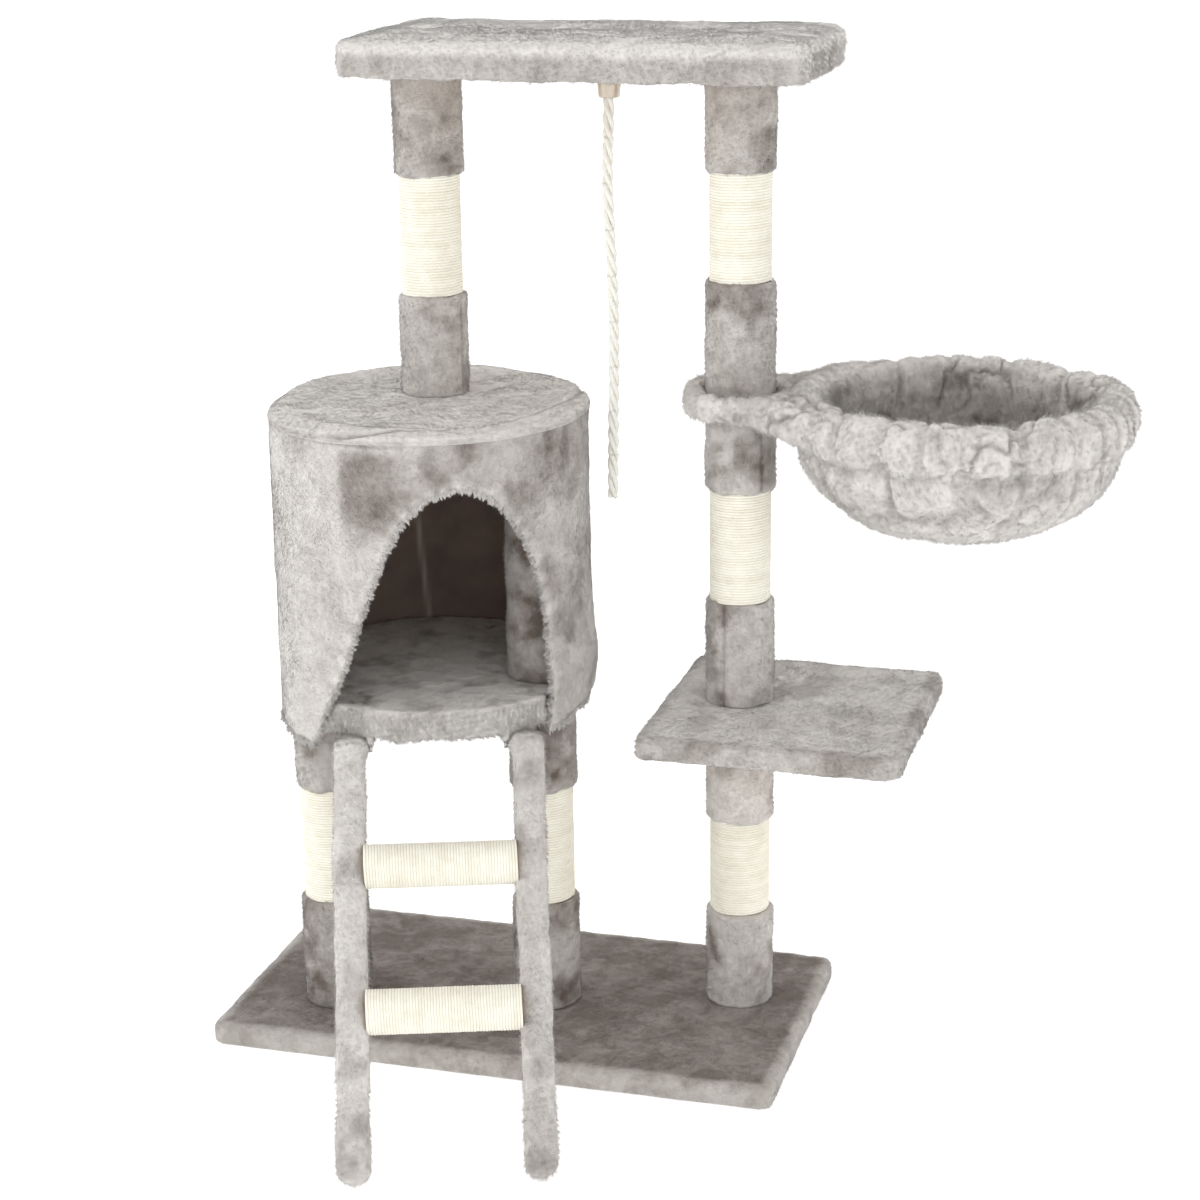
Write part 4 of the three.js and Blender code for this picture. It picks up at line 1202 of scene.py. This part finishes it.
def make_hammock():
    rolls = []
    for side in (-1, 1):
        start = (TALL[0] + 0.012, TALL[1] + side * 0.041, SWIVEL_Z - 1 * MM)
        end = (RING[0] - 0.112, RING[1] + side * NECK, SWIVEL_Z + 1 * MM)
        rolls.append(bar(start, end, 13.5 * MM, 21 * MM))
    shape = joined(hammock_bowl(), hammock_collar(), hammock_web(), *rolls)
    verts, faces = remeshed(shape, 2.3 * MM, 2)
    normals = vertex_normals(verts, faces)
    rim = np.maximum(ease(verts[:, 2], 0.640, 0.655), ease(reach_from(RING, verts), 0.172, 0.180))
    outside = ease(facing_out(RING, verts, normals), -0.2, 0.3)
    crease = rim * wrinkles(verts, 0.034, 541, 0.10) * ease(ripple(verts, 0.05, 543), -0.3, 0.3)
    fine = 0.35 * wrinkles(verts, 0.022, 547, 0.10) * ease(ripple(verts, 0.04, 548), -0.2, 0.3)
    upright = wrinkles(verts * [1, 1, 0.35], 0.045, 542, 0.14) * ease(verts[:, 2], 0.57, 0.60)
    crease = crease + outside * (fine + (1 - rim) * upright)
    verts = verts + normals * (lumps(verts, 540, 1.3) - 5.2 * MM * crease)[:, None]
    reach, clear = reach_from(TALL, verts), 36.6 * MM
    push = np.where(reach < clear, clear / np.maximum(reach, 1e-6), 1)[:, None]
    verts[:, :2] = TALL + (verts[:, :2] - TALL) * push
    # Painted shade inside the bowl, less at the back rim and on the right where light reaches; painted shade
    # in creases; the outside's bottom painted lighter.
    hollow_shade = ease(0.7 * normals[:, 2] - facing_out(RING, verts, normals), 0.0, 0.5)
    hollow_shade = hollow_shade * ease(0.140 - reach_from(RING, verts), 0, 0.012)
    back = ease(verts[:, 1], RING[1] + 0.05, RING[1] + 0.14) * ease(verts[:, 2], 0.655, 0.675)
    right = ease(verts[:, 0], RING[0] + 0.05, RING[0] + 0.12)
    shade = 0.01 + brushed(verts, 545, 0.18, 0.028) * (1 + 1.6 * hollow_shade) + brushed(verts, 549, 0.05, 0.012)
    shade = shade + 0.18 * crease + hollow_shade * (0.40 - 0.2 * back - 0.25 * right)
    shade = shade + outside * (0.04 * (1 - rim) - 0.2 * ease(0.60 - verts[:, 2], 0, 0.02))
    where = lambda p, n: reach_from(TALL, p) > 39 * MM

    def flow(points, normals):
        return out_from(RING, points) * np.where(points[:, 2:] > 0.67, 0.6, -0.2) + np.array([0, 0, -0.8])

    skin, piles = add_plush("hammock_plush", verts, faces, "hammock", ["hammock_basket"], shade, where, flow,
                            seed=550, length=5.6 * MM, stand=0.55, gather=0.9, crisp=0.7)


# ---- ladder ----
def ladder_axes():
    """The ladder's own x, y and z rows, and its hinge point."""
    joint = next(j for j in frame["joints"] if j["name"] == "ladder_lift")
    x = -np.array(joint["axis"], float)
    level = np.cross([0, 0, 1], x)
    up = math.cos(LADDER_LEAN) * np.array([0, 0, 1]) + math.sin(LADDER_LEAN) * level
    return np.stack([x, np.cross(up, x), up]), np.array(joint["pos_m"], float)


def make_rail(index, name, side):
    axes, hinge = ladder_axes()
    length = (hinge[2] - RAIL_THICK / 2 * math.sin(LADDER_LEAN)) / math.cos(LADDER_LEAN)
    above = RAIL_THICK / 2 + 1 * MM
    rows, around, power = 190, 60, 0.72
    down = np.linspace(-above, length, rows)[:, None]
    turn = full_turn(around)[None, :]
    head = np.clip((down + above) / 4e-3, 0.004, 1)
    foot = np.clip((length - down) / 15e-3, 0.004, 1)
    cap = np.sqrt(1 - (1 - head) ** 2) * np.sqrt(1 - (1 - foot) ** 2.4)
    padded = 1 + 0.12 * bump_at(down, -6 * MM, 12 * MM)
    bulge = 1 + 0.07 * bump_at(down, length - 0.030, 0.03) - 0.03 * bump_at(down, length - 0.085, 0.03)
    wide = (RAIL_WIDTH / 2 - 0.4 * MM) * cap * bulge
    thick = (RAIL_THICK / 2 + 0.6 * MM) * np.sqrt(cap) * (1 + 0.6 * (bulge - 1)) * padded
    x, y = wide * boxy(np.cos(turn), power), thick * boxy(np.sin(turn), power)
    wobble = 1.0 * MM * ripple(np.concatenate([0 * down + index, 0 * down, down], -1), 0.07, 600)[:, None]
    pinched = bump_at(down, 0, 8 * MM) * np.sqrt(head)
    x = x - side * 3.5 * MM * pinched * ease(-side * x / (RAIL_WIDTH / 2), -0.2, 1)
    middle = side * RAIL_ACROSS
    local = np.stack([middle + x + wobble, y, -down + 0 * x], -1).reshape(-1, 3)
    verts = hinge + np.concatenate([local, [[middle, 0, above], [middle, 0, -length]]]) @ axes
    faces = capped(rows, around)
    verts = verts + vertex_normals(verts, faces) * lumps(verts, 610 + 10 * index, 0.9)[:, None]
    verts[:, 2] = np.maximum(verts[:, 2], 0.3 * MM)
    # Painted shade: the right rail painted darker than the left; both darker towards the feet.
    shade = 0.10 + 0.08 * index + brushed(verts, 615 + index, 0.25, 0.03)
    shade = shade + 0.10 * ease(0.11 - verts[:, 2], 0, 0.06)
    add_plush(name.replace("cover", "plush"), verts, faces, "ladder", [name], shade, seed=620 + index,
              floor=0.2 * MM, fill=0.8)
    top = lambda p, n: (p - hinge) @ axes[2] > 0
    coat(name.replace("cover", "top_pile"), verts, faces, shade, "ladder", top, (0, -0.3, 1), 3.6 * MM,
         1.0 * MM, 0.6, 630 + index, 0)


def block(low, high):
    corners = np.array([[(low, high)[(k >> i) & 1][i] for i in range(3)] for k in range(8)])
    faces = [[0, 2, 3, 1], [4, 5, 7, 6], [0, 1, 5, 4], [2, 6, 7, 3], [0, 4, 6, 2], [1, 3, 7, 5]]
    return corners, [np.array(faces)]


def make_hinge():
    """The plate under the condo floor, with a slim ear and a pin for each rail."""
    axes, hinge = ladder_axes()
    top = box_of("ladder_hinge")[1][2] - hinge[2]
    half, ear, inner, sides, pin_r = 0.069, 0.009, 0.0658, 24, 3 * MM
    shapes = [block((-half, 0.005, top - 0.0025), (half, 0.035, top))]
    turn = full_turn(sides)
    for side in (-1, 1):
        near, far = sorted((side * inner, side * half))
        shapes.append(block((near, 0.005, -pin_r), (far, ear, top)))
        shapes.append(block((near, -pin_r, -pin_r), (far, ear, pin_r)))
        ends = sorted((side * inner, side * (RAIL_ACROSS + 0.015)))
        rings = [np.stack([0 * turn + at, pin_r * np.cos(turn), pin_r * np.sin(turn)], -1) for at in ends]
        shapes.append((np.concatenate([*rings, [[at, 0, 0] for at in ends]]), capped(2, sides, flip=True)))
    verts, faces = joined(*shapes)
    verts = hinge + verts @ np.stack([axes[0], unit(np.cross([0, 0, 1], axes[0])), [0, 0, 1]])
    add_piece("hinge_plate", verts, faces, steel, "stand", ["ladder_hinge"])


def make_hinge_tuft(name, side):
    """Plush that hangs from the condo floor over an ear of the hinge."""
    axes, hinge = ladder_axes()
    x = axes[0]
    level = unit(np.cross([0, 0, 1], x))
    rows, sides = 18, 24
    rise = np.linspace(0.05, math.pi - 0.05, rows)
    ball = lathe(np.stack([np.sin(rise), -np.cos(rise)], -1), sides, (0, 0))[0]
    ball = boxy(np.concatenate([ball, [[0, 0, -1], [0, 0, 1]]]), 0.75) * [4.5 * MM, 8 * MM, 8 * MM]
    faces = capped(rows, sides, flip=True)
    verts = hinge + ball @ np.stack([x, level, [0, 0, 1]]) + x * side * 0.0680 + level * 0.005 + [0, 0, 0.010]
    verts += vertex_normals(verts, faces) * lumps(verts, 640, 0.7)[:, None]
    add_plush(name, verts, faces, "stand", [], 0.12, everywhere, (0, 0, -1), seed=641 + side,
              length=4.5 * MM, spacing=1.3 * MM)


def make_ladder():
    make_hinge()
    make_hinge_tuft("hinge_tuft_left", -1)
    make_hinge_tuft("hinge_tuft_right", 1)
    make_rail(0, "ladder_rail_left_cover", -1)
    make_rail(1, "ladder_rail_right_cover", 1)
    axes, hinge = ladder_axes()
    x, y, z = axes
    face = RAIL_ACROSS - RAIL_WIDTH / 2
    for index, (name, down) in enumerate(zip(("upper", "lower"), RUNG_DOWN)):
        origin = hinge - z * down - x * (face + 4 * MM)
        winding(f"rung_{name}_winding", f"rung_{name}_sisal", origin, np.stack([y, z, x]), 0.022,
                2 * face + 8 * MM, "ladder", 210 + index)


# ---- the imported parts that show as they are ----
def dress_nodes():
    finishes = dict.fromkeys(("hinge", "bolt", "stud", "frame", "left", "right"), steel)
    finishes.update(core=cardboard, board=chipboard)
    for name, node in frame["nodes"].items():
        if node.hide_render:
            continue
        ending = name.split("_")[-1]
        if ending in finishes:
            node.data.materials.clear()
            node.data.materials.append(finishes[ending])


make_camera()
make_studio()
plush = plush_material()
sisal = sisal_material("sisal", (0.885, 0.87, 0.775), (0.64, 0.575, 0.43))
cotton = sisal_material("cotton", (0.85, 0.845, 0.79), (0.70, 0.675, 0.59))
lining = lining_material()
chipboard = chipboard_material()
cardboard = cardboard_material()
steel = steel_material()
ferrule = ferrule_material()

make_rope()
make_ferrule()
make_knot()
make_post_windings()
for index, (node, tone) in enumerate(SLEEVES.items()):
    make_sleeve(index, node, tone)
make_base()
make_step()
make_perch()
make_condo_wall()
make_lining()
make_condo_floor()
make_condo_top()
make_hammock()
make_ladder()
dress_nodes()
